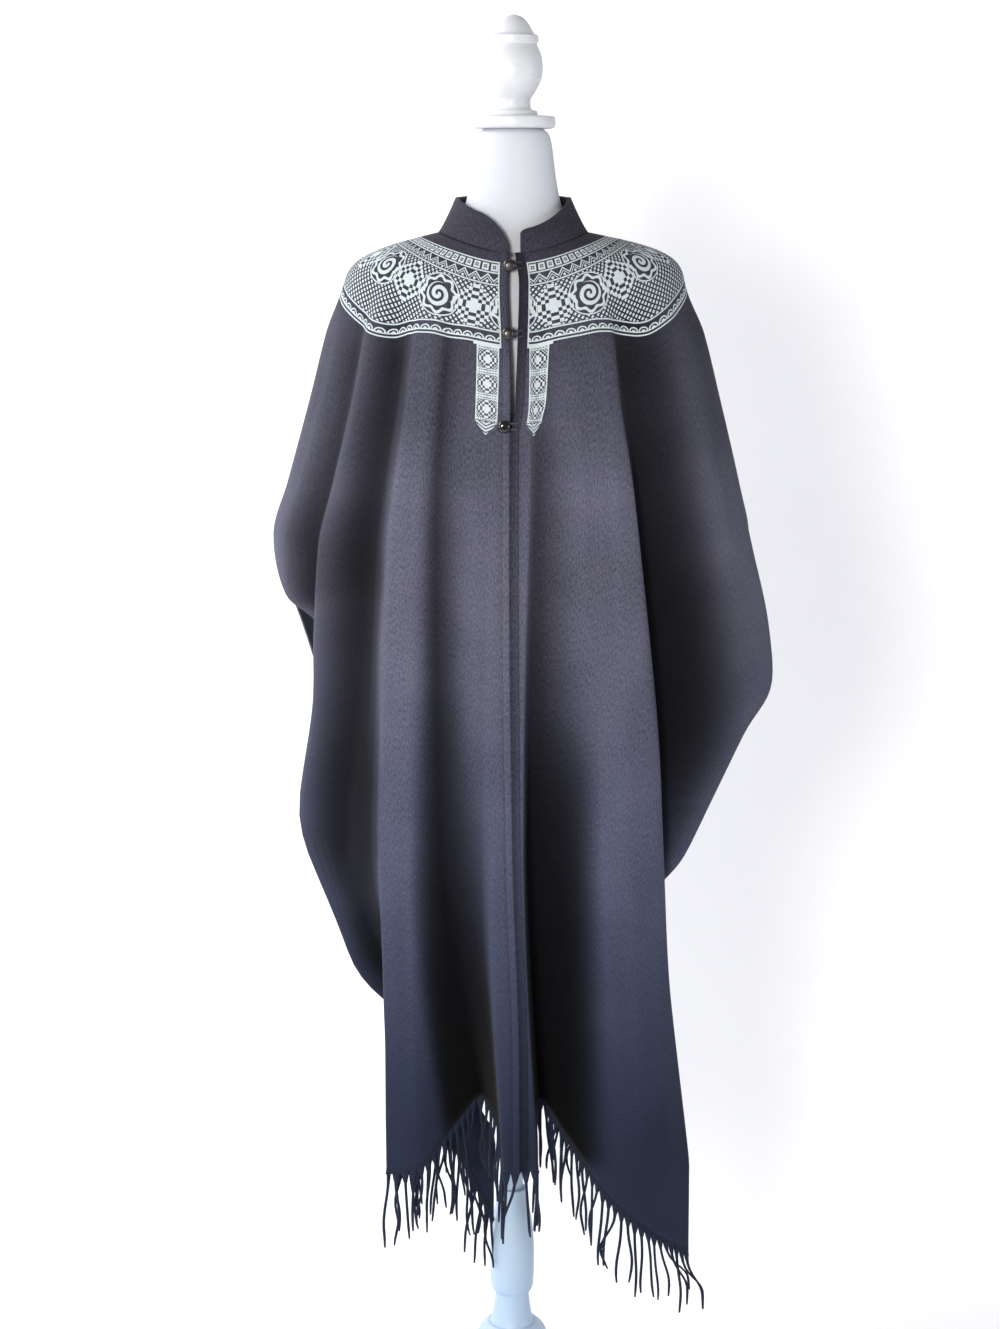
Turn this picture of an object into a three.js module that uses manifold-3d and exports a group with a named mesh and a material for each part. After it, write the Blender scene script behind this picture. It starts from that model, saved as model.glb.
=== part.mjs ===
// A fringed wool poncho, open down the front, hanging on a limbless dress form with a turned stand.
// Millimetres, +Z up, the front faces -Y. The origin is on the floor, on the stand's axis.
// Headings are angles about that axis: 0 is the centre front, 90 the shoulder seam, 180 the centre back.
import * as THREE from "three";
import { mergeVertices } from "three/addons/utils/BufferGeometryUtils.js";
import Module from "manifold-3d";

const wasm = await Module();
wasm.setup();

// Driving sizes of the cloth.
const clothThickness = 2.6;
const seamGap = 0.4;
const neckline = { side: 98, front: 85, back: 72, sideZ: 1608, frontDip: 24, backRise: 15 };
const crown = { rightDrop: 60, leftDrop: 50, frontDrop: 150, backDrop: 130, ease: 2 };
const foldStart = { z: 1560, full: 1440 };
const clothRows = { count: 15, crowding: 1.55 };
const frontBand = { width: 8.5, thickness: 2.4, gap: 0.3 };
const collar = { thickness: 4, frontRight: 44, frontLeft: 30, side: 45, back: 36, roundedOver: 30 };
const collarTop = { side: 72, front: 79, back: 68 };
const fringe = { spacing: 15, length: 104, rootRise: 0.9, rootRadius: 2.1, tipRadius: 1.3 };
const fringeStrip = { gap: 0.9, height: 5, thickness: 2.4, smallest: 0.04 };
const knob = { radius: 8, depth: 9, stemRadius: 2, stemLength: 4.4, standOff: 0.4 };
const loopCord = { radius: 1.1, slack: 0.6, steps: 14, sides: 6 };

// Turns rows of numbers into objects with the named columns.
const table = (columns, rows) =>
  rows.map((row) => Object.fromEntries(columns.map((name, i) => [name, row[i]])));

// How far the draped cloth reaches from the axis at each height, before its folds.
const reach = table(
  ["z", "right", "left", "backRight", "backLeft", "front", "back"],
  [
    [1620, 221, 222, 221, 222, 118, 98],
    [1550, 221, 222, 221, 222, 118, 102],
    [1480, 242, 247, 242, 247, 127, 110],
    [1400, 263, 268, 263, 268, 136, 117],
    [1290, 294, 295, 294, 295, 146, 120],
    [1215, 315, 311, 315, 311, 148, 120],
    [1100, 309, 336, 290, 300, 149, 122],
    [980, 296, 348, 262, 285, 150, 128],
    [840, 300, 330, 240, 265, 152, 128],
    [600, 290, 300, 205, 228, 156, 124],
    [380, 280, 300, 182, 208, 160, 120],
    [200, 278, 300, 180, 204, 162, 120],
  ],
);

// Where the two front edges hang, left and right of the centre line.
const frontEdges = table(
  ["z", "right", "left"],
  [
    [1590, -5, 2],
    [1545, -6.8, 8.2],
    [1480, -4.6, 6.4],
    [1430, -3.8, 4.6],
    [1392, -3.8, 2.6],
    [1358, -4.4, -2.9],
    [1200, -4.6, -3.1],
    [830, -0.8, 0.8],
    [550, 8.2, 9.9],
    [380, 9.2, 10.9],
  ],
);

// Each row is one fold line of a panel: its heading high up, half-way and at the hem, how far it stands out
// from the plain drape at four heights, and the height where it meets the hem or the cut side edge.
const angleLevels = { angleHigh: 1400, angleMid: 850, angleHem: 380 };
const outLevels = { bust: 1400, hip: 1060, knee: 820, hem: 380 };
const foldColumns = ["name", "columns", ...Object.keys(angleLevels), ...Object.keys(outLevels), "endZ"];

const rightFolds = table(foldColumns, [
  ["edge", 0, 0, 0, 0, 0, 0, 0, 2, 389],
  ["strip", 2, 9, 9, 3.5, 0, 0, 2, 3, 389],
  ["turn", 3, 24, 18, 6.5, 0, -1, -6, -45, 430],
  ["valley1", 3, 36, 38, 25, -9, -20, -30, -92, 466],
  ["rise", 4, 38.5, 41.5, 39, -3, -5, -10, -55, 424],
  ["flute2In", 3, 42, 45, 43.5, 3, 4, 2, -12, 386],
  ["flute2Out", 3, 47, 52.5, 53, 3, 3, 3, -4, 372],
  ["tuck", 2, 50, 57, 52, -3, -8, -9, -88, 402],
  ["corner", 3, 53, 61.5, 62, -9, -20, -20, -202, 262],
  ["inner", 2, 55.5, 66.5, 69, -14, -30, -25, -215, 520],
  ["valley2", 2, 58.5, 70.5, 72, -16, -34, -28, -28, 668],
  ["flute1", 4, 65, 77.5, 77.5, 4, -8, 8, 8, 851],
  ["valley3", 2, 70.5, 82, 82, -9, -34, -20, -20, 1097],
  ["side", 2, 79, 86, 86, -1, -6, -6, -6, 1143],
  ["ridge", 2, 90, 90, 90, 0, 0, 0, 0, 1208],
]);

const leftFolds = table(foldColumns, [
  ["edge", 0, 0, 0, 0, 0, 0, 0, 2, 392],
  ["strip", 2, 8, 3.8, 11, 0, 0, 1, 3, 392],
  ["turn", 3, 10.5, 6.3, 14.5, -1.5, -11, -24, -45, 425],
  ["valley1", 3, 14.5, 9.5, 26, -5, -19, -44, -78, 465],
  ["rise", 4, 22, 28, 33.5, -1, -5, -32, -45, 420],
  ["flute2In", 3, 34, 39, 39, 2, 3, 0, 0, 362],
  ["flute2Mid", 3, 42, 45.5, 51, 5, 9, 12, 18, 302],
  ["flute2Out", 3, 47.5, 57, 63, 2, 2, 0, 8, 262],
  ["corner", 2, 51, 61, 67, -10, -26, -24, 2, 248],
  ["valley2", 3, 55.5, 64, 68, -18, -48, -46, -44, 734],
  ["flank", 3, 64, 69.5, 69.5, -12, -30, -30, -30, 802],
  ["flute1", 3, 72, 76, 76, 3, 2, 0, 0, 962],
  ["side", 2, 81, 86, 86, -3, 5, 6, 6, 1040],
  ["ridge", 2, 90, 90, 90, 0, 0, 0, 0, 1231],
]);

const backFolds = table(foldColumns, [
  ["ridgeLeft", 0, 90, 90, 90, 0, 0, 0, 0, 1231],
  ["sideLeft", 2, 95, 94.5, 94.5, 0, -6, -6, -6, 1090],
  ["flute1Left", 3, 103, 102, 102, 2, 6, 4, 4, 905],
  ["valley1Left", 3, 113, 112, 112, -4, -24, -24, -24, 770],
  ["cornerLeft", 3, 121, 121, 121, 0, 0, 4, 6, 306],
  ["flute2Left", 3, 131, 131, 131, 2, 8, 14, 20, 348],
  ["valley2Left", 3, 146, 146, 146, -3, -9, -22, -34, 412],
  ["flute3Left", 3, 161, 161, 161, 2, 6, 12, 20, 452],
  ["valley3", 4, 178, 178, 178, -1, -4, -10, -16, 470],
  ["flute3Right", 4, 196, 196, 196, 2, 8, 14, 22, 466],
  ["valley2Right", 3, 211, 211, 211, -3, -9, -24, -36, 424],
  ["flute2Right", 3, 227, 227, 227, 2, 8, 14, 18, 366],
  ["cornerRight", 3, 238, 238, 238, 0, 0, 4, 4, 326],
  ["valley1Right", 3, 248, 248, 248, -4, -20, -22, -22, 700],
  ["flute1Right", 3, 257, 257, 257, 2, 4, 2, 2, 860],
  ["sideRight", 3, 265, 265.5, 265.5, 0, -4, -4, -4, 1080],
  ["ridgeRight", 2, 270, 270, 270, 0, 0, 0, 0, 1208],
]);

// Driving sizes of the dress form and its stand.
const formSections = table(
  ["z", "halfWidth", "front", "back"],
  [
    [900, 150, 96, 98],
    [908, 158, 103, 106],
    [940, 164, 107, 110],
    [990, 165, 108, 111],
    [1080, 141, 97, 94],
    [1180, 118, 86, 79],
    [1280, 131, 99, 86],
    [1370, 150, 115, 94],
    [1440, 166, 114, 98],
    [1500, 190, 111, 98],
    [1530, 200, 107, 98],
    [1550, 200, 104, 98],
    [1565, 198, 100, 96],
    [1578, 190, 98, 94],
    [1590, 160, 92, 86],
    [1600, 110, 76, 70],
    [1615, 78, 63, 60],
    [1645, 61.5, 56, 55],
    [1663, 57.5, 54, 53],
    [1685, 54, 52, 51],
    [1722, 49, 48.5, 48],
    [1734, 45, 44.5, 44],
    [1739, 38, 38, 37],
  ],
);
const form = { headings: 24, underCloth: 5.6, roundness: 2.2 };
const topDisc = { z: 1739.3, radius: 54, thickness: 16 };
const pole = { radius: 15, topZ: 899.7, bottomZ: 300.3 };
const pedestal = { bottomZ: 100.3, footRadius: 31 };
const base = { radius: 160, height: 100 };

// Interpolates a smooth curve that keeps each peak and trough of its points (monotone cubic Hermite).
function smoothCurve(xs, ys) {
  const n = xs.length;
  const slope = ys.slice(1).map((y, i) => (y - ys[i]) / (xs[i + 1] - xs[i]));
  const tangent = ys.map((_, i) => {
    if (i === 0) return slope[0];
    if (i === n - 1) return slope[n - 2];
    const [before, after] = [slope[i - 1], slope[i]];
    return before * after <= 0 ? 0 : (2 * before * after) / (before + after);
  });
  return (x) => {
    let i = 0;
    while (i < n - 2 && x > xs[i + 1]) i++;
    const h = xs[i + 1] - xs[i];
    const t = Math.min(Math.max((x - xs[i]) / h, 0), 1);
    const t2 = t * t;
    const t3 = t2 * t;
    return (
      (2 * t3 - 3 * t2 + 1) * ys[i] +
      (t3 - 2 * t2 + t) * h * tangent[i] +
      (3 * t2 - 2 * t3) * ys[i + 1] +
      (t3 - t2) * h * tangent[i + 1]
    );
  };
}

// A curve over height from one column of a table whose rows run downwards.
const byHeight = (rows, column) => {
  const down = smoothCurve(
    rows.map((row) => -row.z),
    rows.map((row) => row[column]),
  );
  return (z) => down(-z);
};

const radians = THREE.MathUtils.degToRad;
const lerp = THREE.MathUtils.lerp;
const reachAt = Object.fromEntries(
  ["right", "left", "backRight", "backLeft", "front", "back"].map((side) => [side, byHeight(reach, side)]),
);
const edgeAt = { right: byHeight(frontEdges, "right"), left: byHeight(frontEdges, "left") };

// Headings are positive towards the wearer's left, which is +X.
const pointAt = (heading, radius, z) => {
  const a = radians(heading);
  return new THREE.Vector3(radius * Math.sin(a), -radius * Math.cos(a), z);
};

const ellipseRadius = (heading, halfWidth, depth, power = 2) => {
  const a = radians(heading);
  const across = Math.abs(Math.sin(a)) / halfWidth;
  const along = Math.abs(Math.cos(a)) / depth;
  return (across ** power + along ** power) ** (-1 / power);
};

// The neckline is an oval, lower at the front and higher at the back.
function necklineAt(heading) {
  const forward = Math.cos(radians(heading));
  const depth = forward > 0 ? neckline.front : neckline.back;
  const lift = forward > 0 ? -neckline.frontDip : neckline.backRise;
  return {
    radius: ellipseRadius(heading, neckline.side, depth),
    z: neckline.sideZ + lift * forward * forward,
  };
}

// The plain drape: from the neckline it runs out over the shoulder and turns down into the hanging oval.
function drapeRadius(heading, z) {
  const a = radians(heading);
  const forward = Math.cos(a);
  const isFront = forward > 0;
  const side = Math.sin(a) < 0 ? (isFront ? "right" : "backRight") : isFront ? "left" : "backLeft";
  const hanging = ellipseRadius(heading, reachAt[side](z), reachAt[isFront ? "front" : "back"](z));
  const neck = necklineAt(heading);
  const widest = isFront ? crown.frontDrop : crown.backDrop;
  const shoulder = Math.sin(a) < 0 ? crown.rightDrop : crown.leftDrop;
  const drop = lerp(shoulder, widest, forward * forward);
  const turned = Math.tanh((crown.ease * Math.max(neck.z - z, 0)) / drop);
  return neck.radius + (hanging - neck.radius) * turned;
}

// A panel's surface: place(q, z) gives a point, where whole numbers of q are the rows of the fold table.
function panelSurface(folds, sign, edge) {
  const rows = folds.map((_, i) => i);
  const levelCurve = (levels) => {
    const names = Object.keys(levels);
    const curves = folds.map((fold) =>
      smoothCurve(
        names.map((name) => -levels[name]),
        names.map((name) => fold[name]),
      ),
    );
    return (z) => curves.map((curve) => curve(-z));
  };
  const anglesAt = levelCurve(angleLevels);
  const outsAt = levelCurve(outLevels);
  const endCurve = smoothCurve(
    rows,
    folds.map((fold) => fold.endZ),
  );
  const headingAt = (q, z) => {
    const angles = anglesAt(z);
    if (edge) {
      const radius = drapeRadius(0, z);
      angles[0] = sign * THREE.MathUtils.radToDeg(Math.asin(edge(z) / radius));
    }
    return sign * smoothCurve(rows, angles)(q);
  };
  const place = (q, z) => {
    const heading = headingAt(q, z);
    const fold = smoothCurve(rows, outsAt(z))(q);
    const begun = THREE.MathUtils.smoothstep(-z, -foldStart.z, -foldStart.full);
    return pointAt(heading, drapeRadius(heading, z) + fold * begun, z);
  };
  // One column runs from the neckline to its end, in steps along the cloth that grow downwards.
  const column = (q) => {
    const topZ = necklineAt(headingAt(q, neckline.sideZ)).z;
    const endZ = endCurve(q);
    const fine = 120;
    const points = [];
    for (let i = 0; i <= fine; i++) points.push(place(q, lerp(topZ, endZ, (i / fine) ** 1.6)));
    return alongPath(points, clothRows.count, clothRows.crowding);
  };
  return { place, column, endCurve };
}

// Points along a polyline, at equal distances or crowded towards its start.
function alongPath(points, count, crowding = 1) {
  const lengths = [0];
  for (let i = 1; i < points.length; i++) lengths.push(lengths[i - 1] + points[i].distanceTo(points[i - 1]));
  const total = lengths.at(-1);
  const made = [];
  let i = 0;
  for (let k = 0; k <= count; k++) {
    const wanted = total * (k / count) ** crowding;
    while (i < points.length - 2 && lengths[i + 1] < wanted) i++;
    const t = Math.min((wanted - lengths[i]) / (lengths[i + 1] - lengths[i]), 1);
    made.push(new THREE.Vector3().lerpVectors(points[i], points[i + 1], t));
  }
  return made;
}

// The fold coordinates of a panel's columns: each row of its table says how many lead up to it.
const columnCoordinates = (folds) =>
  folds.flatMap((fold, i) =>
    i === 0 ? [0] : Array.from({ length: fold.columns }, (_, k) => i - 1 + (k + 1) / fold.columns),
  );

// Outward unit normals of a grid of points; on a seam column they have no part along the seam's gap.
function gridNormals(grid, turn, seams = []) {
  const last = grid.length - 1;
  return grid.map((column, i) =>
    column.map((_, j) => {
      const end = column.length - 1;
      const across = grid[Math.min(i + 1, last)][j].clone().sub(grid[Math.max(i - 1, 0)][j]);
      const down = column[Math.min(j + 1, end)].clone().sub(column[Math.max(j - 1, 0)]);
      const normal = down.cross(across).multiplyScalar(turn);
      if (seams.includes(i)) normal.y = 0;
      return normal.normalize();
    }),
  );
}

const moved = (grid, normals, distance) =>
  grid.map((column, i) => column.map((point, j) => point.clone().addScaledVector(normals[i][j], distance)));

// A closed wall between an outer and an inner grid of points.
function wallGeometry(outer, inner, turn) {
  const [columns, rows] = [outer.length, outer[0].length];
  const positions = [...outer.flat(), ...inner.flat()].flatMap((point) => point.toArray());
  const outerAt = (i, j) => i * rows + j;
  const innerAt = (i, j) => columns * rows + i * rows + j;
  const index = [];
  const quad = (a, b, c, d) => (turn > 0 ? index.push(a, b, c, a, c, d) : index.push(a, c, b, a, d, c));
  for (let i = 0; i < columns - 1; i++) {
    for (let j = 0; j < rows - 1; j++) {
      quad(outerAt(i, j), outerAt(i, j + 1), outerAt(i + 1, j + 1), outerAt(i + 1, j));
      quad(innerAt(i, j), innerAt(i + 1, j), innerAt(i + 1, j + 1), innerAt(i, j + 1));
    }
    quad(outerAt(i, 0), outerAt(i + 1, 0), innerAt(i + 1, 0), innerAt(i, 0));
    quad(outerAt(i, rows - 1), innerAt(i, rows - 1), innerAt(i + 1, rows - 1), outerAt(i + 1, rows - 1));
  }
  for (let j = 0; j < rows - 1; j++) {
    quad(outerAt(0, j), innerAt(0, j), innerAt(0, j + 1), outerAt(0, j + 1));
    const e = columns - 1;
    quad(outerAt(e, j), outerAt(e, j + 1), innerAt(e, j + 1), innerAt(e, j));
  }
  const geometry = new THREE.BufferGeometry();
  geometry.setAttribute("position", new THREE.Float32BufferAttribute(positions, 3));
  geometry.setIndex(index);
  return geometry;
}

const material = (color, roughness, metalness = 0) =>
  new THREE.MeshStandardMaterial({ color, roughness, metalness });
const wool = material("#34343b", 0.95);
const darkKnob = material("#33241f", 0.35);
const jersey = material("#e6e8ee", 0.9);
const whitePaint = material("#ecebe8", 0.45);

const poncho = new THREE.Group();
poncho.name = "poncho_on_dress_form";

function add(name, geometry, finish) {
  const mesh = new THREE.Mesh(geometry, finish);
  mesh.name = name;
  poncho.add(mesh);
  return mesh;
}

// The three panels meet at the shoulder seams.
const surfaces = {
  right: panelSurface(rightFolds, -1, edgeAt.right),
  left: panelSurface(leftFolds, 1, edgeAt.left),
  back: panelSurface(backFolds, 1, null),
};
// Grids run so that columns go round towards the wearer's left, and rows go down.
const panels = {
  right: { folds: rightFolds, seams: ["last"], turn: -1 },
  left: { folds: leftFolds, seams: ["last"], turn: 1 },
  back: { folds: backFolds, seams: ["first", "last"], turn: 1 },
};

function panelGrid(name) {
  const { folds, seams } = panels[name];
  const coordinates = columnCoordinates(folds);
  const grid = coordinates.map((q) => surfaces[name].column(q));
  const away = name === "back" ? 1 : -1;
  const seamColumns = seams.map((end) => (end === "first" ? 0 : grid.length - 1));
  for (const i of seamColumns) for (const point of grid[i]) point.y = (away * seamGap) / 2;
  return { grid, seamColumns };
}

function addPanel(name, nodeName) {
  const { turn } = panels[name];
  const { grid, seamColumns } = panelGrid(name);
  const normals = gridNormals(grid, turn, seamColumns);
  const half = clothThickness / 2;
  add(nodeName, wallGeometry(moved(grid, normals, half), moved(grid, normals, -half), turn), wool);
}

addPanel("right", "front_right");
addPanel("left", "front_left");
addPanel("back", "back");

// A narrow band lies on each front edge, made from the panel's own points moved out.
function addFrontBand(name, nodeName) {
  const { turn } = panels[name];
  const surface = surfaces[name];
  const edgeColumn = surface.column(0);
  const innerColumn = surface.column(0.7);
  const across = [0.02, 0.5, 1];
  const grid = across.map((share) =>
    edgeColumn.map((point, j) => {
      const inward = innerColumn[j].clone().sub(point).setZ(0).normalize();
      return point.clone().addScaledVector(inward, share * frontBand.width);
    }),
  );
  const normals = gridNormals(grid, turn);
  const low = clothThickness / 2 + frontBand.gap;
  add(
    nodeName,
    wallGeometry(moved(grid, normals, low + frontBand.thickness), moved(grid, normals, low), turn),
    wool,
  );
}

addFrontBand("right", "front_band_right");
addFrontBand("left", "front_band_left");

// The stand collar rises inside the neckline, lower in front and rounded at its right front end.
function addCollar() {
  const start = 6;
  const end = 355;
  const steps = 30;
  const rows = 3;
  const grid = [];
  for (let i = 0; i <= steps; i++) {
    const heading = lerp(start, end, 1 - (1 - i / steps) ** 1.3);
    const forward = Math.cos(radians(heading));
    const neck = necklineAt(heading);
    const topDepth = forward > 0 ? collarTop.front : collarTop.back;
    const topRadius = ellipseRadius(heading, collarTop.side, topDepth);
    const inFront = heading > 180 ? collar.frontRight : collar.frontLeft;
    const full = lerp(collar.side, forward > 0 ? inFront : collar.back, forward * forward);
    const fromEnd = Math.min((end + 0.6 - heading) / collar.roundedOver, 1);
    const height = full * Math.sqrt(1 - (1 - fromEnd) ** 2);
    const rise = height / collar.side;
    const foot = neck.radius - collar.thickness / 2 - 0.5;
    const column = [];
    for (let j = 0; j <= rows; j++) {
      const t = 1 - j / rows;
      const radius = foot + (topRadius - foot) * rise * t ** 0.8;
      column.push(pointAt(heading, radius, neck.z + 0.8 + height * t));
    }
    grid.push(column);
  }
  const normals = gridNormals(grid, 1);
  const half = collar.thickness / 2;
  add("collar", wallGeometry(moved(grid, normals, half), moved(grid, normals, -half), 1), wool);
}

addCollar();

// The solid of a mesh, with its shared corners merged.
function solidOf(geometry) {
  const bare = geometry.clone();
  bare.deleteAttribute("normal");
  bare.deleteAttribute("uv");
  const merged = mergeVertices(bare, 1e-4);
  return new wasm.Manifold(
    new wasm.Mesh({
      numProp: 3,
      vertProperties: new Float32Array(merged.attributes.position.array),
      triVerts: new Uint32Array(merged.index.array),
    }),
  );
}

function geometryOf(solid) {
  const mesh = solid.getMesh();
  const geometry = new THREE.BufferGeometry();
  const positions = new Float32Array(mesh.numVert * 3);
  for (let i = 0; i < mesh.numVert; i++) {
    positions.set(mesh.vertProperties.subarray(i * mesh.numProp, i * mesh.numProp + 3), i * 3);
  }
  geometry.setAttribute("position", new THREE.BufferAttribute(positions, 3));
  geometry.setIndex(new THREE.BufferAttribute(mesh.triVerts, 1));
  return geometry;
}

// A strand is a three-sided taper through a root, a bend and a tip, with one corner pointing out of the hem.
function strandGeometry(root, bend, tip, out, along) {
  const sides = 3;
  const rings = [
    [root, fringe.rootRadius],
    [bend, lerp(fringe.rootRadius, fringe.tipRadius, 0.5)],
    [tip, fringe.tipRadius],
  ];
  const positions = [];
  for (const [centre, radius] of rings) {
    for (let k = 0; k < sides; k++) {
      const a = (2 * Math.PI * k) / sides;
      const corner = centre.clone().addScaledVector(out, radius * Math.cos(a));
      positions.push(...corner.addScaledVector(along, radius * Math.sin(a)).toArray());
    }
  }
  const index = [0, 1, 2];
  for (let r = 0; r < rings.length - 1; r++) {
    for (let k = 0; k < sides; k++) {
      const a = r * sides + k;
      const b = r * sides + ((k + 1) % sides);
      index.push(a, a + sides, b + sides, a, b + sides, b);
    }
  }
  const e = (rings.length - 1) * sides;
  index.push(e, e + 2, e + 1);
  const geometry = new THREE.BufferGeometry();
  geometry.setAttribute("position", new THREE.Float32BufferAttribute(positions, 3));
  geometry.setIndex(index);
  return geometry;
}

// A fringe hangs from a narrow strip just under a panel's hem, between two rows of its fold table.
function addFringe(name, nodeName, firstFold, lastFold) {
  const { folds, turn } = panels[name];
  const coordinates = columnCoordinates(folds);
  const [from, to] = [firstFold, lastFold].map((fold) =>
    coordinates.indexOf(folds.findIndex((row) => row.name === fold)),
  );
  const { grid: panel, seamColumns } = panelGrid(name);
  const panelNormals = gridNormals(panel, turn, seamColumns);
  const grid = [];
  const normals = [];
  for (let i = from; i <= to; i++) {
    const hem = panel[i].at(-1);
    const normal = panelNormals[i].at(-1).clone();
    const edgeZ = hem.z - Math.abs(normal.z) * (clothThickness / 2);
    // Where the hem is steep the strip hangs lower, so that it stays as far from the cloth.
    const along = panel[Math.min(i + 1, to)].at(-1).clone().sub(panel[Math.max(i - 1, from)].at(-1));
    const topZ = edgeZ - (fringeStrip.gap * along.length()) / Math.hypot(along.x, along.y);
    grid.push([topZ, topZ - fringeStrip.height].map((z) => hem.clone().setZ(z)));
    const level = normal.clone().setZ(0).normalize();
    normals.push([level, level]);
  }
  const half = fringeStrip.thickness / 2;
  let solid = solidOf(wallGeometry(moved(grid, normals, half), moved(grid, normals, -half), turn));
  const low = grid.map((column) => column[1]);
  const length = low.slice(1).reduce((sum, point, i) => sum + point.distanceTo(low[i]), 0);
  const strands = Math.floor(length / fringe.spacing);
  const feet = alongPath(low, strands * 2);
  for (let k = 0; k < strands; k++) {
    const foot = feet[2 * k + 1];
    const along = feet[2 * k + 2].clone().sub(feet[2 * k]).normalize();
    // Where the hem is steep a strand sways less, so that it passes beside the cloth next to it.
    const sway = (7 * Math.sin(k * 0.45) + 3 * Math.sin(k * 1.1 + 1)) * (1 - along.z * along.z) ** 2;
    along.setZ(0).normalize();
    const out = new THREE.Vector3(along.y, -along.x, 0);
    const drop = fringe.length + 6 * Math.sin(k * 1.7);
    const root = foot.clone().setZ(foot.z + fringe.rootRise);
    const bend = foot.clone().addScaledVector(along, sway * 0.3).addScaledVector(out, 2);
    bend.z -= drop * 0.45;
    const tip = foot.clone().addScaledVector(along, sway).addScaledVector(out, 3 * Math.sin(k * 0.8));
    tip.z -= drop;
    solid = solid.add(solidOf(strandGeometry(root, bend, tip, out, along)));
  }
  add(nodeName, geometryOf(solid.simplify(fringeStrip.smallest)), wool);
}

addFringe("right", "fringe_front_right", "edge", "corner");
addFringe("left", "fringe_front_left", "edge", "corner");
addFringe("back", "fringe_back", "cornerLeft", "cornerRight");

// A lathe turned about the Z axis from rows of radius and height.
function turned(profile, segments) {
  const points = profile.map(([radius, z]) => new THREE.Vector2(radius, z));
  return new THREE.LatheGeometry(points, segments).rotateX(Math.PI / 2);
}

// Three knobs on the right front edge, each held by a loop from the left edge.
const buttonRows = table(
  ["name", "x", "z"],
  [
    ["1", -5.5, 1570],
    ["2", -7, 1487],
    ["3", -12, 1373],
  ],
);
// The cloth slopes outwards as it falls, so a piece is set by the band under its lower end.
const bandFace = (z, halfHeight) =>
  drapeRadius(0, z - halfHeight) + clothThickness / 2 + frontBand.gap + frontBand.thickness;

// The stem stands on the band, and the head may reach past the panel's edge.
const stemX = ({ x, z }) => Math.min(x, edgeAt.right(z) - knob.stemRadius - 1.2);

function addButton(button) {
  const { name, x, z } = button;
  const face = -(bandFace(z, knob.stemRadius) + knob.standOff);
  const { radius: r, depth: d, stemRadius, stemLength } = knob;
  const head = turned(
    [
      [0, 0],
      [r * 0.8, 0.4],
      [r, d * 0.4],
      [r * 0.86, d * 0.75],
      [r * 0.45, d * 0.97],
      [0, d],
    ],
    12,
  );
  const stem = turned(
    [
      [0, 0],
      [stemRadius, 0],
      [stemRadius, stemLength + 1],
      [0, stemLength + 1],
    ],
    8,
  );
  head.rotateX(Math.PI / 2).translate(x, face - stemLength, z);
  stem.rotateX(Math.PI / 2).translate(stemX(button), face, z);
  add("button_" + name, geometryOf(solidOf(head).add(solidOf(stem))), darkKnob);
}

// A loop of cord runs from the left band round the stem, behind the head.
function addLoop(button) {
  const { name, z } = button;
  const x = stemX(button);
  const reachX = edgeAt.left(z) + frontBand.width * 0.6;
  const round = knob.stemRadius + loopCord.radius + loopCord.slack;
  const halfHeight = round + loopCord.radius;
  const level = -(bandFace(z, halfHeight) + knob.standOff + loopCord.radius);
  const arcSteps = 6;
  const points = [new THREE.Vector3(reachX, level, z + round)];
  for (let i = 0; i <= arcSteps; i++) {
    const a = Math.PI / 2 + (Math.PI * i) / arcSteps;
    points.push(new THREE.Vector3(x + round * Math.cos(a), level, z + round * Math.sin(a)));
  }
  points.push(new THREE.Vector3(reachX, level, z - round));
  const path = new THREE.CatmullRomCurve3(points, false, "centripetal");
  const section = new THREE.Shape();
  section.setFromPoints(
    Array.from({ length: loopCord.sides }, (_, k) => {
      const a = (2 * Math.PI * k) / loopCord.sides;
      return new THREE.Vector2(loopCord.radius * Math.cos(a), loopCord.radius * Math.sin(a));
    }),
  );
  const cord = new THREE.ExtrudeGeometry(section, { steps: loopCord.steps, extrudePath: path });
  add("loop_" + name, cord, wool);
}

buttonRows.forEach(addButton);
buttonRows.forEach(addLoop);

// The torso and neck follow their sections, and stay just under the cloth where it rests on them.
function addForm() {
  const size = Object.fromEntries(
    ["halfWidth", "front", "back"].map((column) => {
      const curve = smoothCurve(
        formSections.map((row) => row.z),
        formSections.map((row) => row[column]),
      );
      return [column, curve];
    }),
  );
  const positions = [];
  const { headings, underCloth, roundness } = form;
  for (const { z } of formSections) {
    for (let k = 0; k < headings; k++) {
      const heading = (360 * k) / headings;
      const depth = Math.cos(radians(heading)) > 0 ? size.front(z) : size.back(z);
      const own = ellipseRadius(heading, size.halfWidth(z), depth, roundness);
      const isUnderCloth = z + underCloth < necklineAt(heading).z;
      const most = isUnderCloth ? drapeRadius(heading, z + underCloth) - underCloth : own;
      const inCollar = ellipseRadius(heading, collarTop.side, collarTop.back) - collar.thickness;
      const limit = isUnderCloth ? most : Math.min(own, inCollar);
      positions.push(...pointAt(heading, Math.min(own, limit), z).toArray());
    }
  }
  const rings = formSections.length;
  positions.push(0, 0, formSections[0].z, 0, 0, formSections[rings - 1].z);
  const index = [];
  for (let r = 0; r < rings - 1; r++) {
    for (let k = 0; k < headings; k++) {
      const a = r * headings + k;
      const b = r * headings + ((k + 1) % headings);
      index.push(a, b, b + headings, a, b + headings, a + headings);
    }
  }
  for (let k = 0; k < headings; k++) {
    const next = (k + 1) % headings;
    const top = (rings - 1) * headings;
    index.push(rings * headings, next, k);
    index.push(rings * headings + 1, top + k, top + next);
  }
  const geometry = new THREE.BufferGeometry();
  geometry.setAttribute("position", new THREE.Float32BufferAttribute(positions, 3));
  geometry.setIndex(index);
  add("dress_form", geometry, jersey);
}

addForm();

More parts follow.
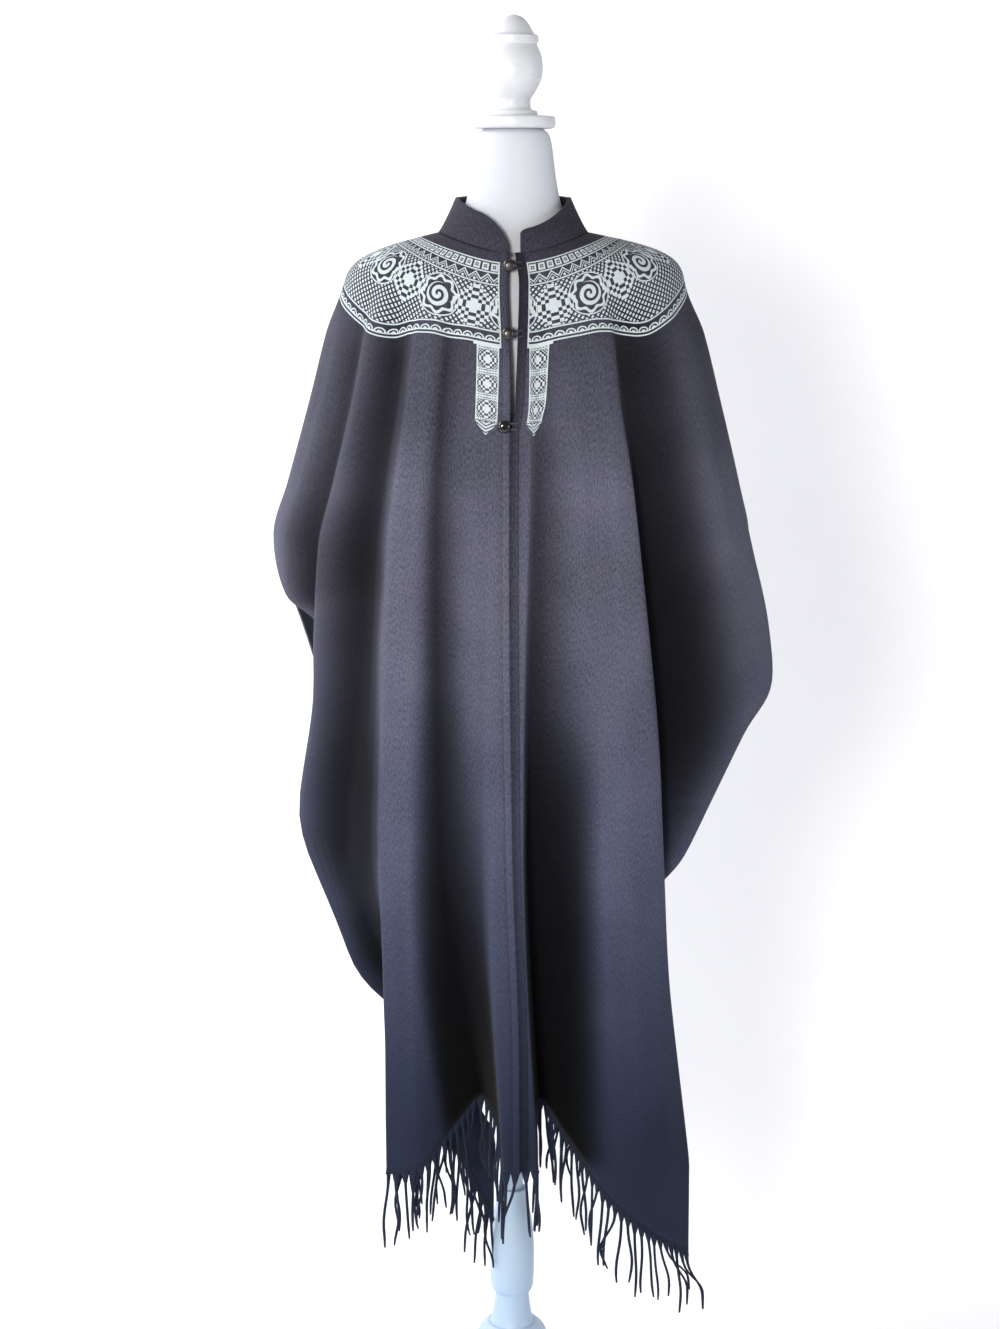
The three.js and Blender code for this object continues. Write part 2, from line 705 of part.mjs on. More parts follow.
const discTop = topDisc.z + topDisc.thickness;
add(
  "neck_disc",
  turned(
    [
      [0, topDisc.z],
      [topDisc.radius - 6, topDisc.z],
      [topDisc.radius, topDisc.z + 4],
      [topDisc.radius, discTop - 3],
      [topDisc.radius - 3, discTop],
      [0, discTop],
    ],
    24,
  ),
  whitePaint,
);

// The finial: foot, neck, bulb, bead and cap, as radius and height above the disc.
const finialProfile = [
  [0, 0.3],
  [31.5, 0.3],
  [30.5, 6],
  [25, 8],
  [22, 11],
  [22, 20],
  [27.5, 29],
  [35, 43],
  [37.7, 59],
  [36, 74],
  [30.5, 88],
  [32, 92],
  [31.5, 99],
  [26, 102.5],
  [22.5, 109],
  [13, 121],
  [0, 126],
];
add(
  "finial",
  turned(
    finialProfile.map(([radius, z]) => [radius, z + discTop]),
    18,
  ),
  whitePaint,
);

add(
  "pole",
  turned(
    [
      [0, pole.bottomZ],
      [pole.radius, pole.bottomZ],
      [pole.radius, pole.topZ],
      [0, pole.topZ],
    ],
    16,
  ),
  whitePaint,
);

add(
  "pedestal",
  turned(
    [
      [0, pedestal.bottomZ],
      [pedestal.footRadius, pedestal.bottomZ],
      [26, 118],
      [23.5, 146],
      [28, 151],
      [30.5, 180],
      [30.8, 212],
      [28, 245],
      [23.5, 275],
      [20, 292],
      [20, 300],
      [0, 300],
    ],
    20,
  ),
  whitePaint,
);

add(
  "base",
  turned(
    [
      [0, 0],
      [base.radius - 3, 0],
      [base.radius, 2.5],
      [base.radius, 5],
      [base.radius - 4, 8],
      [125, 14],
      [90, 25],
      [64, 44],
      [52, 72],
      [44, 90],
      [34, base.height],
      [0, base.height],
    ],
    24,
  ),
  whitePaint,
);

export default poncho;
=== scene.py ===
import bpy
import math
import numpy as np
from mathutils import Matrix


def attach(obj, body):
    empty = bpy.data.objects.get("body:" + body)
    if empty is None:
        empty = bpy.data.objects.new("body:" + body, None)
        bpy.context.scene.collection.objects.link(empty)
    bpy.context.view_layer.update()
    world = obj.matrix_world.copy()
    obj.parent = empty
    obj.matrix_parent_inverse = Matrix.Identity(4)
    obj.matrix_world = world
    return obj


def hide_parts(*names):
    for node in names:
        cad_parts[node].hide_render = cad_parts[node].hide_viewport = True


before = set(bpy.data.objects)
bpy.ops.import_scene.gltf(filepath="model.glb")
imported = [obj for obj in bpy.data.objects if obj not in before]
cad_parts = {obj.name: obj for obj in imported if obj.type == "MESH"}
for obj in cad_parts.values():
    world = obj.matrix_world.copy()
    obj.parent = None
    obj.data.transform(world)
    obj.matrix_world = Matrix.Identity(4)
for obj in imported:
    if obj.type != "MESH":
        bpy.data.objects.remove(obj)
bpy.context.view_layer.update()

# Shapes are worked out in millimetres and turned to metres as each mesh is made.
# Headings are degrees about the stand's axis: 0 is the centre front, 90 the shoulder seam, 180 the centre back,
# and they are positive towards the wearer's left, which is +X.
metre = 0.001
decimetre = 0.01
cameraSettings = {"across": -0.017, "back": 3.09, "height": 1.65, "pitchDown": 11.13, "lens": 63.93,
                  "sensor": 36}

cameraData = bpy.data.cameras.new("photoCamera")
cameraData.lens = cameraSettings["lens"]
cameraData.sensor_width = cameraSettings["sensor"]
camera = bpy.data.objects.new("photoCamera", cameraData)
camera.location = (cameraSettings["across"], -cameraSettings["back"], cameraSettings["height"])
camera.rotation_euler = (math.radians(90 - cameraSettings["pitchDown"]), 0, 0)
bpy.context.scene.collection.objects.link(camera)
bpy.context.scene.camera = camera
print("camera set")


def makePiece(name, points, faces, material, maps=None):
    # Points are in mm, and maps holds one UV map per name, with one row for each point.
    mesh = bpy.data.meshes.new(name)
    mesh.from_pydata((points * metre).tolist(), [], faces)
    corners = np.empty(len(mesh.loops), dtype=np.int32)
    mesh.loops.foreach_get("vertex_index", corners)
    for mapName, values in (maps or {}).items():
        layer = mesh.uv_layers.new(name=mapName)
        layer.data.foreach_set("uv", values[corners].astype(np.float32).ravel())
    mesh.polygons.foreach_set("use_smooth", np.ones(len(mesh.polygons), dtype=bool))
    mesh.materials.append(material)
    piece = bpy.data.objects.new(name, mesh)
    bpy.context.scene.collection.objects.link(piece)
    return piece


def gridFaces(columns, rows, turn=1, closed=False):
    # Quads between neighbouring columns and rows; turn says which way they face.
    i, j = np.meshgrid(np.arange(columns - (0 if closed else 1)), np.arange(rows - 1), indexing="ij")
    here, beside = i * rows + j, ((i + 1) % columns) * rows + j
    quads = np.stack([here, here + 1, beside + 1, beside], axis=-1).reshape(-1, 4)
    return (quads if turn > 0 else quads[:, ::-1]).tolist()


def gridNormals(grid, turn):
    # The cross product of the way down and the way across, at each point of the grid.
    across, down = np.gradient(grid, axis=0), np.gradient(grid, axis=1)
    normals = np.cross(down, across) * turn
    return normals / np.linalg.norm(normals, axis=-1, keepdims=True)


def finish(piece, slot, *nodes):
    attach(piece, "root")
    if nodes:
        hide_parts(*nodes)
    return piece


def addThickness(piece, thickness, rounding=0.0):
    # Half the wall lies on each side of the surface; rounding is the radius at its cut edges.
    solidify = piece.modifiers.new("thickness", "SOLIDIFY")
    solidify.thickness = thickness * metre
    solidify.offset = 0
    solidify.use_even_offset = True
    if rounding:
        bevel = piece.modifiers.new("rounding", "BEVEL")
        bevel.width = rounding * metre
        bevel.segments = 3
        bevel.limit_method = "ANGLE"
        bevel.angle_limit = math.radians(50)


def tangentsOf(xs, ys):
    # Harmonic means of the slopes on both sides, and none at a peak or trough.
    slopes = np.diff(ys, axis=-1) / np.diff(xs)
    before, after = slopes[..., :-1], slopes[..., 1:]
    total = np.where(before + after == 0, 1, before + after)
    inner = np.where(before * after <= 0, 0, 2 * before * after / total)
    return np.concatenate([slopes[..., :1], inner, slopes[..., -1:]], axis=-1)


def curveAt(xs, ys, x):
    # A monotone cubic Hermite curve through (xs, ys), where ys may hold one curve for each x.
    xs, x = np.asarray(xs, float), np.asarray(x, float)
    ys = np.broadcast_to(np.asarray(ys, float), x.shape + (len(xs),))
    slopes = tangentsOf(xs, ys)
    i = np.clip(np.searchsorted(xs, x, side="right") - 1, 0, len(xs) - 2)
    pick = lambda values, k: np.take_along_axis(values, k[..., None], -1)[..., 0]
    width = xs[i + 1] - xs[i]
    t = np.clip((x - xs[i]) / width, 0, 1)
    return (
        (2 * t**3 - 3 * t**2 + 1) * pick(ys, i)
        + (t**3 - 2 * t**2 + t) * width * pick(slopes, i)
        + (3 * t**2 - 2 * t**3) * pick(ys, i + 1)
        + (t**3 - t**2) * width * pick(slopes, i + 1)
    )


def smoothStep(low, high, x):
    t = np.clip((x - low) / (high - low), 0, 1)
    return t * t * (3 - 2 * t)


def linearColour(hexText):
    # sRGB hex to linear light.
    channels = [int(hexText[k:k + 2], 16) / 255 for k in (1, 3, 5)]
    return [c / 12.92 if c <= 0.04045 else ((c + 0.055) / 1.055) ** 2.4 for c in channels] + [1.0]


def addNode(tree, kind, inputs=None, **settings):
    # Adds a node, sets its settings, and links or sets its inputs; a node as input means its first output.
    node = tree.nodes.new(kind)
    for name, value in settings.items():
        setattr(node, name, value)
    for key, value in (inputs or {}).items():
        if isinstance(value, bpy.types.Node):
            value = value.outputs[0]
        if isinstance(value, bpy.types.NodeSocket):
            tree.links.new(value, node.inputs[key])
        else:
            node.inputs[key].default_value = value
    return node


def newMaterial(name):
    material = bpy.data.materials.new(name)
    material.use_nodes = True
    tree = material.node_tree
    tree.nodes.clear()
    shader = addNode(tree, "ShaderNodeBsdfPrincipled")
    addNode(tree, "ShaderNodeOutputMaterial", {"Surface": shader.outputs[0]})
    return material, tree, shader


woolSettings = {
    "light": "#666678",          # charcoal wool where the nap catches light
    "dark": "#32333f",
    "lowBlueShade": "#2d3955",        # painted shade: the lower cloth reads darker and bluer in the photograph
    "lowShadeHeights": (1.15, 0.45), # m, where the tint starts and where it is full
    "lowShadeShare": 0.8,
    "print": "#c7d3d6",          # off-white screen print with a green-grey cast
    "fibre": 1.3,                # mm, a nap fibre bunch, drawn coarse enough to show
    "streak": 3.6,               # mm, how long a bunch runs down the cloth
    "roughness": 0.92,
    "foldDepth": 10.0,           # mm behind the folds at which the shade is mostly reached
    "foldShade": 0.035,          # how much of the colour is left deep in a fold
    "shoulders": (1.28, 1.62, 0.36),   # painted shade: m and m, then how much of the colour is left at the top
    "hem": (0.82, 0.42, 0.38),         # the same, down to the hem
}


def woolBase(tree, shader):
    # Brushed, fulled wool cloth: matt, with a short nap that runs down the cloth and a soft sheen at the edges.
    uv = addNode(tree, "ShaderNodeUVMap", uv_map="weave")
    streaks = addNode(tree, "ShaderNodeMapping", {"Vector": uv, "Scale": (
        1 / (woolSettings["fibre"] * metre), 1 / (woolSettings["streak"] * metre), 1)})
    nap = addNode(tree, "ShaderNodeTexNoise", {"Vector": streaks, "Scale": 0.7, "Detail": 3.0, "Roughness": 0.62})
    inMillimetres = addNode(tree, "ShaderNodeMapping", {"Vector": uv, "Scale": (1 / metre, 1 / metre, 1)})
    fuzz = addNode(tree, "ShaderNodeTexNoise", {
        "Vector": inMillimetres, "Scale": 0.62, "Detail": 4.0, "Roughness": 0.75})
    place = addNode(tree, "ShaderNodeTexCoord")
    cloud = addNode(tree, "ShaderNodeTexNoise", {"Vector": place.outputs["Object"], "Scale": 9.0, "Detail": 2.0})
    # Both grains and a slow drift over the cloth, added up.
    drift = addNode(tree, "ShaderNodeMath", {0: cloud, 1: 0.15}, operation="MULTIPLY")
    fuzzy = addNode(tree, "ShaderNodeMath", {0: fuzz, 1: 0.4, 2: drift}, operation="MULTIPLY_ADD")
    shade = addNode(tree, "ShaderNodeMath", {0: nap, 1: 0.45, 2: fuzzy}, operation="MULTIPLY_ADD")
    spread = addNode(tree, "ShaderNodeMapRange", {"Value": shade, "From Min": 0.38, "From Max": 0.62})
    upper = addNode(tree, "ShaderNodeMix", {
        "Factor": spread, 6: linearColour(woolSettings["dark"]), 7: linearColour(woolSettings["light"])},
        data_type="RGBA")
    height = addNode(tree, "ShaderNodeSeparateXYZ", {0: place.outputs["Object"]})
    # Painted shade: towards the bottom the colour goes darker and bluer.
    shadeTop, shadeFull = woolSettings["lowShadeHeights"]
    low = addNode(tree, "ShaderNodeMapRange", {
        "Value": height.outputs[2], "From Min": shadeTop, "From Max": shadeFull,
        "To Min": 0.0, "To Max": woolSettings["lowShadeShare"]})
    colour = addNode(tree, "ShaderNodeMix", {
        "Factor": low, 6: upper.outputs[2], 7: linearColour(woolSettings["lowBlueShade"])}, data_type="RGBA")
    # Painted shade: deep inside the folds the colour is darkened almost to black, falling off exponentially with
    # depth.
    behind = addNode(tree, "ShaderNodeAttribute", attribute_name="paintedShadeDepth")
    fallOff = addNode(tree, "ShaderNodeMath", {
        0: behind.outputs["Fac"], 1: -1 / (woolSettings["foldDepth"] * decimetre)}, operation="MULTIPLY")
    light = addNode(tree, "ShaderNodeMath", {0: math.e, 1: fallOff}, operation="POWER")
    level = addNode(tree, "ShaderNodeMath", {
        0: light, 1: 1 - woolSettings["foldShade"], 2: woolSettings["foldShade"]}, operation="MULTIPLY_ADD")
    # Painted shade: the colour is darkened towards the shoulders and over the last stretch above the hem.
    for start, end, share in (woolSettings["shoulders"], woolSettings["hem"]):
        heightShade = addNode(tree, "ShaderNodeMapRange", {
            "Value": height.outputs[2], "From Min": start, "From Max": end, "To Min": 1.0, "To Max": share})
        level = addNode(tree, "ShaderNodeMath", {0: level, 1: heightShade}, operation="MULTIPLY")
    shaded = addNode(tree, "ShaderNodeMix", {"Factor": 1.0, 6: colour.outputs[2], 7: level.outputs[0]},
                     data_type="RGBA", blend_type="MULTIPLY")
    bumpHeight = addNode(tree, "ShaderNodeMath", {0: fuzz, 1: nap}, operation="ADD")
    bump = addNode(tree, "ShaderNodeBump", {"Height": bumpHeight, "Strength": 0.55, "Distance": 0.0012})
    tree.links.new(bump.outputs[0], shader.inputs["Normal"])
    shader.inputs["Roughness"].default_value = woolSettings["roughness"]
    shader.inputs["Sheen Weight"].default_value = 0.04
    shader.inputs["Sheen Roughness"].default_value = 0.45
    shader.inputs["Specular IOR Level"].default_value = 0.1
    return shaded.outputs[2]


def makeWool():
    material, tree, shader = newMaterial("brushedWool")
    tree.links.new(woolBase(tree, shader), shader.inputs["Base Color"])
    return material


wool = makeWool()
formColours = {"jersey": "#c8ccd4", "jerseyHollow": "#b8bdc6", "paint": "#d0d3d8", "paintHollow": "#bfc2c8",
               "foot": "#a3b8cf"}


def mottled(name, colours, scale, detail, limits, relief, roughness):
    # A noise over the object mixes two colours and raises the surface a little.
    material, tree, shader = newMaterial(name)
    place = addNode(tree, "ShaderNodeTexCoord")
    scaled = addNode(tree, "ShaderNodeMapping", {"Vector": place.outputs["Object"], "Scale": scale})
    noise = addNode(tree, "ShaderNodeTexNoise", {"Vector": scaled, "Scale": 1.0, "Detail": detail})
    share = addNode(tree, "ShaderNodeMapRange", {"Value": noise, "From Min": limits[0], "From Max": limits[1]})
    tone = addNode(tree, "ShaderNodeMix", {
        "Factor": share, 6: linearColour(colours[0]), 7: linearColour(colours[1])}, data_type="RGBA")
    tree.links.new(tone.outputs[2], shader.inputs["Base Color"])
    bump = addNode(tree, "ShaderNodeBump", {"Height": noise, "Strength": relief[0], "Distance": relief[1]})
    tree.links.new(bump.outputs[0], shader.inputs["Normal"])
    shader.inputs["Roughness"].default_value = roughness
    return material, tree, shader, tone


def makeJersey():
    # White cotton jersey, knitted fine and pulled smooth over the form.
    colours = formColours["jerseyHollow"], formColours["jersey"]
    material, _, shader, _ = mottled("whiteJersey", colours, (700, 700, 350), 2.0, (0, 1), (0.2, 0.0004), 0.85)
    shader.inputs["Sheen Weight"].default_value = 0.15
    return material


def makePaint():
    # Satin white paint brushed on turned beech, a little uneven; painted bluish shade on the stand's foot.
    colours = formColours["paintHollow"], formColours["paint"]
    material, tree, shader, tone = mottled(
        "satinWhitePaint", colours, (60, 60, 420), 3.0, (0, 1), (0.12, 0.0006), 0.42)
    place = addNode(tree, "ShaderNodeTexCoord")
    height = addNode(tree, "ShaderNodeSeparateXYZ", {0: place.outputs["Object"]})
    # Painted bluish shade low on the stand: the colour turns pale blue below about 0.6 m.
    foot = addNode(tree, "ShaderNodeMapRange", {"Value": height.outputs[2], "From Min": 0.62, "From Max": 0.58})
    colour = addNode(tree, "ShaderNodeMix", {
        "Factor": foot, 6: tone.outputs[2], 7: linearColour(formColours["foot"])}, data_type="RGBA")
    tree.links.new(colour.outputs[2], shader.inputs["Base Color"])
    return material


def makeHorn(name, brown, black, roughness):
    # Dark horn: mottled brown and black, polished.
    material, _, shader, _ = mottled(
        name, (brown, black), (260, 260, 260), 4.0, (0.35, 0.65), (0.25, 0.0004), roughness)
    shader.inputs["Coat Weight"].default_value = 0.3
    return material


jersey = makeJersey()
paint = makePaint()
print("materials made")

# The garment's drape, in the same terms as the solids: a plain oval drape with folds standing out of it.
drape = {
    "thickness": 2.6,
    "neckSide": 98, "neckFront": 85, "neckBack": 72, "neckSideZ": 1608, "frontDip": 24, "backRise": 15,
    "rightDrop": 60, "leftDrop": 50, "frontDrop": 150, "backDrop": 130, "ease": 2,
    "foldStartZ": 1560, "foldFullZ": 1440,
    "columnsPerFold": 8, "rows": 150, "crowding": 1.25,
}
# Height, then half-widths right and left in front, right and left behind, and the depths in front and behind.
reach = np.array([
    [1620, 221, 222, 221, 222, 118, 98],
    [1550, 221, 222, 221, 222, 118, 102],
    [1480, 242, 247, 242, 247, 127, 110],
    [1400, 263, 268, 263, 268, 136, 117],
    [1290, 294, 295, 294, 295, 146, 120],
    [1215, 315, 311, 315, 311, 148, 120],
    [1100, 309, 336, 290, 300, 149, 122],
    [980, 296, 348, 262, 285, 150, 128],
    [840, 300, 330, 240, 265, 152, 128],
    [600, 290, 300, 205, 228, 156, 124],
    [380, 280, 300, 182, 208, 160, 120],
    [200, 278, 300, 180, 204, 162, 120],
])
reachColumns = {"right": 1, "left": 2, "backRight": 3, "backLeft": 4, "front": 5, "back": 6}
# Height, then where the right and the left front edge hang, in mm from the centre line.
frontEdges = np.array([
    [1590, -5, 2],
    [1545, -6.8, 8.2],
    [1480, -4.6, 6.4],
    [1430, -3.8, 4.6],
    [1392, -3.8, 2.6],
    [1358, -4.4, -2.9],
    [1200, -4.6, -3.1],
    [830, -0.8, 0.8],
    [550, 8.2, 9.9],
    [380, 9.2, 10.9],
])
# One row for each fold line: its name, its heading at the three angleHeights, how far it stands out at the four
# outHeights, and the height where it meets the hem or the cut side edge.
angleHeights = [1400, 850, 380]
outHeights = [1400, 1060, 820, 380]
folds = {
    "right": [
        ("edge", 0, 0, 0, 0, 0, 0, 2, 389),
        ("strip", 9, 9, 3.5, 0, 0, 2, 3, 389),
        ("turn", 24, 18, 6.5, 0, -1, -6, -45, 430),
        ("valley1", 36, 38, 25, -9, -20, -30, -92, 466),
        ("rise", 38.5, 41.5, 39, -3, -5, -10, -55, 424),
        ("flute2In", 42, 45, 43.5, 3, 4, 2, -12, 386),
        ("flute2Out", 47, 52.5, 53, 3, 3, 3, -4, 372),
        ("tuck", 50, 57, 52, -3, -8, -9, -88, 402),
        ("corner", 53, 61.5, 62, -9, -20, -20, -202, 262),
        ("inner", 55.5, 66.5, 69, -14, -30, -25, -215, 520),
        ("valley2", 58.5, 70.5, 72, -16, -34, -28, -28, 668),
        ("flute1", 65, 77.5, 77.5, 4, -8, 8, 8, 851),
        ("valley3", 70.5, 82, 82, -9, -34, -20, -20, 1097),
        ("side", 79, 86, 86, -1, -6, -6, -6, 1143),
        ("ridge", 90, 90, 90, 0, 0, 0, 0, 1208),
    ],
    "left": [
        ("edge", 0, 0, 0, 0, 0, 0, 2, 392),
        ("strip", 8, 3.8, 11, 0, 0, 1, 3, 392),
        ("turn", 10.5, 6.3, 14.5, -1.5, -11, -24, -45, 425),
        ("valley1", 14.5, 9.5, 26, -5, -19, -44, -78, 465),
        ("rise", 22, 28, 33.5, -1, -5, -32, -45, 420),
        ("flute2In", 34, 39, 39, 2, 3, 0, 0, 362),
        ("flute2Mid", 42, 45.5, 51, 5, 9, 12, 18, 302),
        ("flute2Out", 47.5, 57, 63, 2, 2, 0, 8, 262),
        ("corner", 51, 61, 67, -10, -26, -24, 2, 248),
        ("valley2", 55.5, 64, 68, -18, -48, -46, -44, 734),
        ("flank", 64, 69.5, 69.5, -12, -30, -30, -30, 802),
        ("flute1", 72, 76, 76, 3, 2, 0, 0, 962),
        ("side", 81, 86, 86, -3, 5, 6, 6, 1040),
        ("ridge", 90, 90, 90, 0, 0, 0, 0, 1231),
    ],
    "back": [
        ("ridgeLeft", 90, 90, 90, 0, 0, 0, 0, 1231),
        ("sideLeft", 95, 94.5, 94.5, 0, -6, -6, -6, 1090),
        ("flute1Left", 103, 102, 102, 2, 6, 4, 4, 905),
        ("valley1Left", 113, 112, 112, -4, -24, -24, -24, 770),
        ("cornerLeft", 121, 121, 121, 0, 0, 4, 6, 306),
        ("flute2Left", 131, 131, 131, 2, 8, 14, 20, 348),
        ("valley2Left", 146, 146, 146, -3, -9, -22, -34, 412),
        ("flute3Left", 161, 161, 161, 2, 6, 12, 20, 452),
        ("valley3", 178, 178, 178, -1, -4, -10, -16, 470),
        ("flute3Right", 196, 196, 196, 2, 8, 14, 22, 466),
        ("valley2Right", 211, 211, 211, -3, -9, -24, -36, 424),
        ("flute2Right", 227, 227, 227, 2, 8, 14, 18, 366),
        ("cornerRight", 238, 238, 238, 0, 0, 4, 4, 326),
        ("valley1Right", 248, 248, 248, -4, -20, -22, -22, 700),
        ("flute1Right", 257, 257, 257, 2, 4, 2, 2, 860),
        ("sideRight", 265, 265.5, 265.5, 0, -4, -4, -4, 1080),
        ("ridgeRight", 270, 270, 270, 0, 0, 0, 0, 1208),
    ],
}


def byHeight(rows, column, z):
    return curveAt(-rows[:, 0], rows[:, column], -np.asarray(z, float))


def ovalRadius(heading, halfWidth, depth, power=2):
    a = np.radians(heading)
    return ((np.abs(np.sin(a)) / halfWidth) ** power + (np.abs(np.cos(a)) / depth) ** power) ** (-1 / power)


def neckline(heading):
    # An oval round the neck, lower in front and higher behind.
    forward = np.cos(np.radians(heading))
    depth = np.where(forward > 0, drape["neckFront"], drape["neckBack"])
    lift = np.where(forward > 0, -drape["frontDip"], drape["backRise"])
    return ovalRadius(heading, drape["neckSide"], depth), drape["neckSideZ"] + lift * forward**2


def drapeRadius(heading, z):
    # From the neckline the cloth runs out over the shoulder and turns down into the hanging oval, as a tanh curve.
    a = np.radians(heading)
    forward, isRight = np.cos(a), np.sin(a) < 0
    level = {name: byHeight(reach, column, z) for name, column in reachColumns.items()}
    inFront = np.where(isRight, level["right"], level["left"])
    behind = np.where(isRight, level["backRight"], level["backLeft"])
    isFront = forward > 0
    hanging = ovalRadius(heading, np.where(isFront, inFront, behind),
                         np.where(isFront, level["front"], level["back"]))
    neckRadius, neckZ = neckline(heading)
    side = np.where(isRight, drape["rightDrop"], drape["leftDrop"])
    widest = np.where(isFront, drape["frontDrop"], drape["backDrop"])
    drop = side + (widest - side) * forward**2
    return neckRadius + (hanging - neckRadius) * np.tanh(drape["ease"] * np.maximum(neckZ - z, 0) / drop)


def frontEdge(panel, z):
    return byHeight(frontEdges, 1 if panel == "right" else 2, z)


def headingOf(panel, q, z):
    # Each fold's heading at this height, then the heading between folds at fold coordinate q.
    rows = folds[panel]
    angles = np.stack([curveAt(-np.array(angleHeights), row[1:4], -z) for row in rows], axis=-1)
    sign = -1 if panel == "right" else 1
    if panel != "back":
        angles[..., 0] = sign * np.degrees(np.arcsin(frontEdge(panel, z) / drapeRadius(0 * z, z)))
    return sign * curveAt(np.arange(len(rows)), angles, q)


def surfaceAt(panel, q, z):
    # A point stands at its heading, at the plain drape's radius and as far out as the folds there.
    rows = folds[panel]
    heading = headingOf(panel, q, z)
    outs = np.stack([curveAt(-np.array(outHeights), row[4:8], -z) for row in rows], axis=-1)
    begun = smoothStep(-drape["foldStartZ"], -drape["foldFullZ"], -z)
    radius = drapeRadius(heading, z) + curveAt(np.arange(len(rows)), outs, q) * begun
    a = np.radians(heading)
    return np.stack([radius * np.sin(a), -radius * np.cos(a), z], axis=-1)


def endHeight(panel, q):
    rows = folds[panel]
    return curveAt(np.arange(len(rows)), [row[8] for row in rows], q)


def alongPath(points, wanted):
    # Points at the wanted shares of a polyline's length.
    lengths = np.concatenate([[0], np.cumsum(np.linalg.norm(np.diff(points, axis=0), axis=1))])
    return np.stack([np.interp(wanted * lengths[-1], lengths, points[:, k]) for k in range(3)], axis=-1), lengths[-1]


# Soft creases laid over the folds: panel, heading at the top and the bottom, top and bottom height, half-width in
# degrees and depth in mm, where a trough is negative.
creases = [
    ("right", 24, 22, 1500, 1120, 2.2, -1.6),
    ("right", 33, 36, 1470, 900, 2.6, 1.8),
    ("right", 41, 45, 1500, 980, 2.0, -1.8),
    ("right", 48, 55, 1530, 1180, 2.2, 2.0),
    ("right", 58, 66, 1545, 1180, 2.4, -2.6),
    ("right", 72, 74, 1540, 1220, 2.2, 2.2),
    ("right", 80, 83, 1500, 1240, 2.0, -1.8),
    ("right", 12, 17, 1330, 620, 1.6, -1.6),
    ("right", 46, 47, 900, 430, 2.0, -2.2),
    ("right", 35, 37, 760, 420, 1.5, 1.6),
    ("left", 22, 20, 1480, 1150, 2.2, -1.5),
    ("left", 31, 34, 1500, 940, 2.4, 1.8),
    ("left", 40, 43, 1490, 860, 2.0, -1.8),
    ("left", 49, 56, 1530, 1240, 2.0, 2.0),
    ("left", 60, 68, 1545, 1160, 2.6, -3.0),
    ("left", 71, 77, 1540, 1150, 2.2, 2.2),
    ("left", 79, 80, 1420, 1090, 1.8, -1.6),
    ("left", 14, 15, 1250, 640, 1.5, -1.6),
    ("left", 44, 47, 820, 420, 2.0, -2.4),
    ("left", 56, 59, 760, 330, 1.6, 1.8),
    ("back", 104, 106, 1530, 1250, 2.4, -2.4),
    ("back", 118, 119, 1520, 1000, 2.4, 2.0),
    ("back", 137, 138, 1530, 900, 2.8, -1.8),
    ("back", 152, 154, 1500, 700, 2.2, -1.6),
    ("back", 170, 168, 1540, 800, 2.6, 1.6),
    ("back", 187, 188, 1520, 620, 2.4, -1.8),
    ("back", 203, 204, 1500, 900, 2.4, 1.8),
    ("back", 219, 220, 1530, 760, 2.6, -2.0),
    ("back", 233, 232, 1520, 1040, 2.2, 2.0),
    ("back", 251, 249, 1540, 1200, 2.4, -2.4),
]

# Degrees round the body within which a fold shades a valley, and columns over which the shade is softened.
shading = {"reach": 32, "soften": 2}


def creaseDepth(panel, heading, z):
    # Each crease is a bell across and fades in and out along its length.
    total = np.zeros_like(z)
    for name, atTop, atBottom, top, bottom, halfWidth, depth in creases:
        if name != panel:
            continue
        down = np.clip((top - z) / (top - bottom), 0, 1)
        centre = atTop + (atBottom - atTop) * down
        total += depth * np.exp(-(((heading - centre) / halfWidth) ** 2)) * np.sin(np.pi * down) ** 0.7
    return total


def depthBehindFolds(panel, q, z):
    # How deep the cloth lies in a valley: the lower of the highest cloth on its two sides, at the same height and
    # near enough to shade it, less the cloth itself. A side that is cut away lets the light in.
    levels = np.arange(190.0, 1640.0, 10.0)
    allQ, allZ = np.meshgrid(q, levels, indexing="ij")
    heading = np.abs(headingOf(panel, allQ, allZ))
    points = surfaceAt(panel, allQ, allZ)
    out = np.hypot(points[..., 0], points[..., 1]) - drapeRadius(headingOf(panel, allQ, allZ), allZ)
    present = allZ >= endHeight(panel, q)[:, None]
    near = (np.abs(heading[:, None] - heading[None]) < shading["reach"]) & present[None]
    order = np.arange(len(q))
    crests = [np.max(np.where(near & beside[..., None], out[None], -999), axis=1)
              for beside in (order[:, None] >= order, order[:, None] <= order)]
    depth = np.maximum(np.minimum(*crests) - out, 0)
    soften = shading["soften"]
    padded = np.pad(depth, ((soften, soften), (0, 0)), mode="edge")
    depth = np.mean([padded[k:k + len(q)] for k in range(2 * soften + 1)], axis=0)
    return np.stack([np.interp(z[k], levels, depth[k]) for k in range(len(q))])


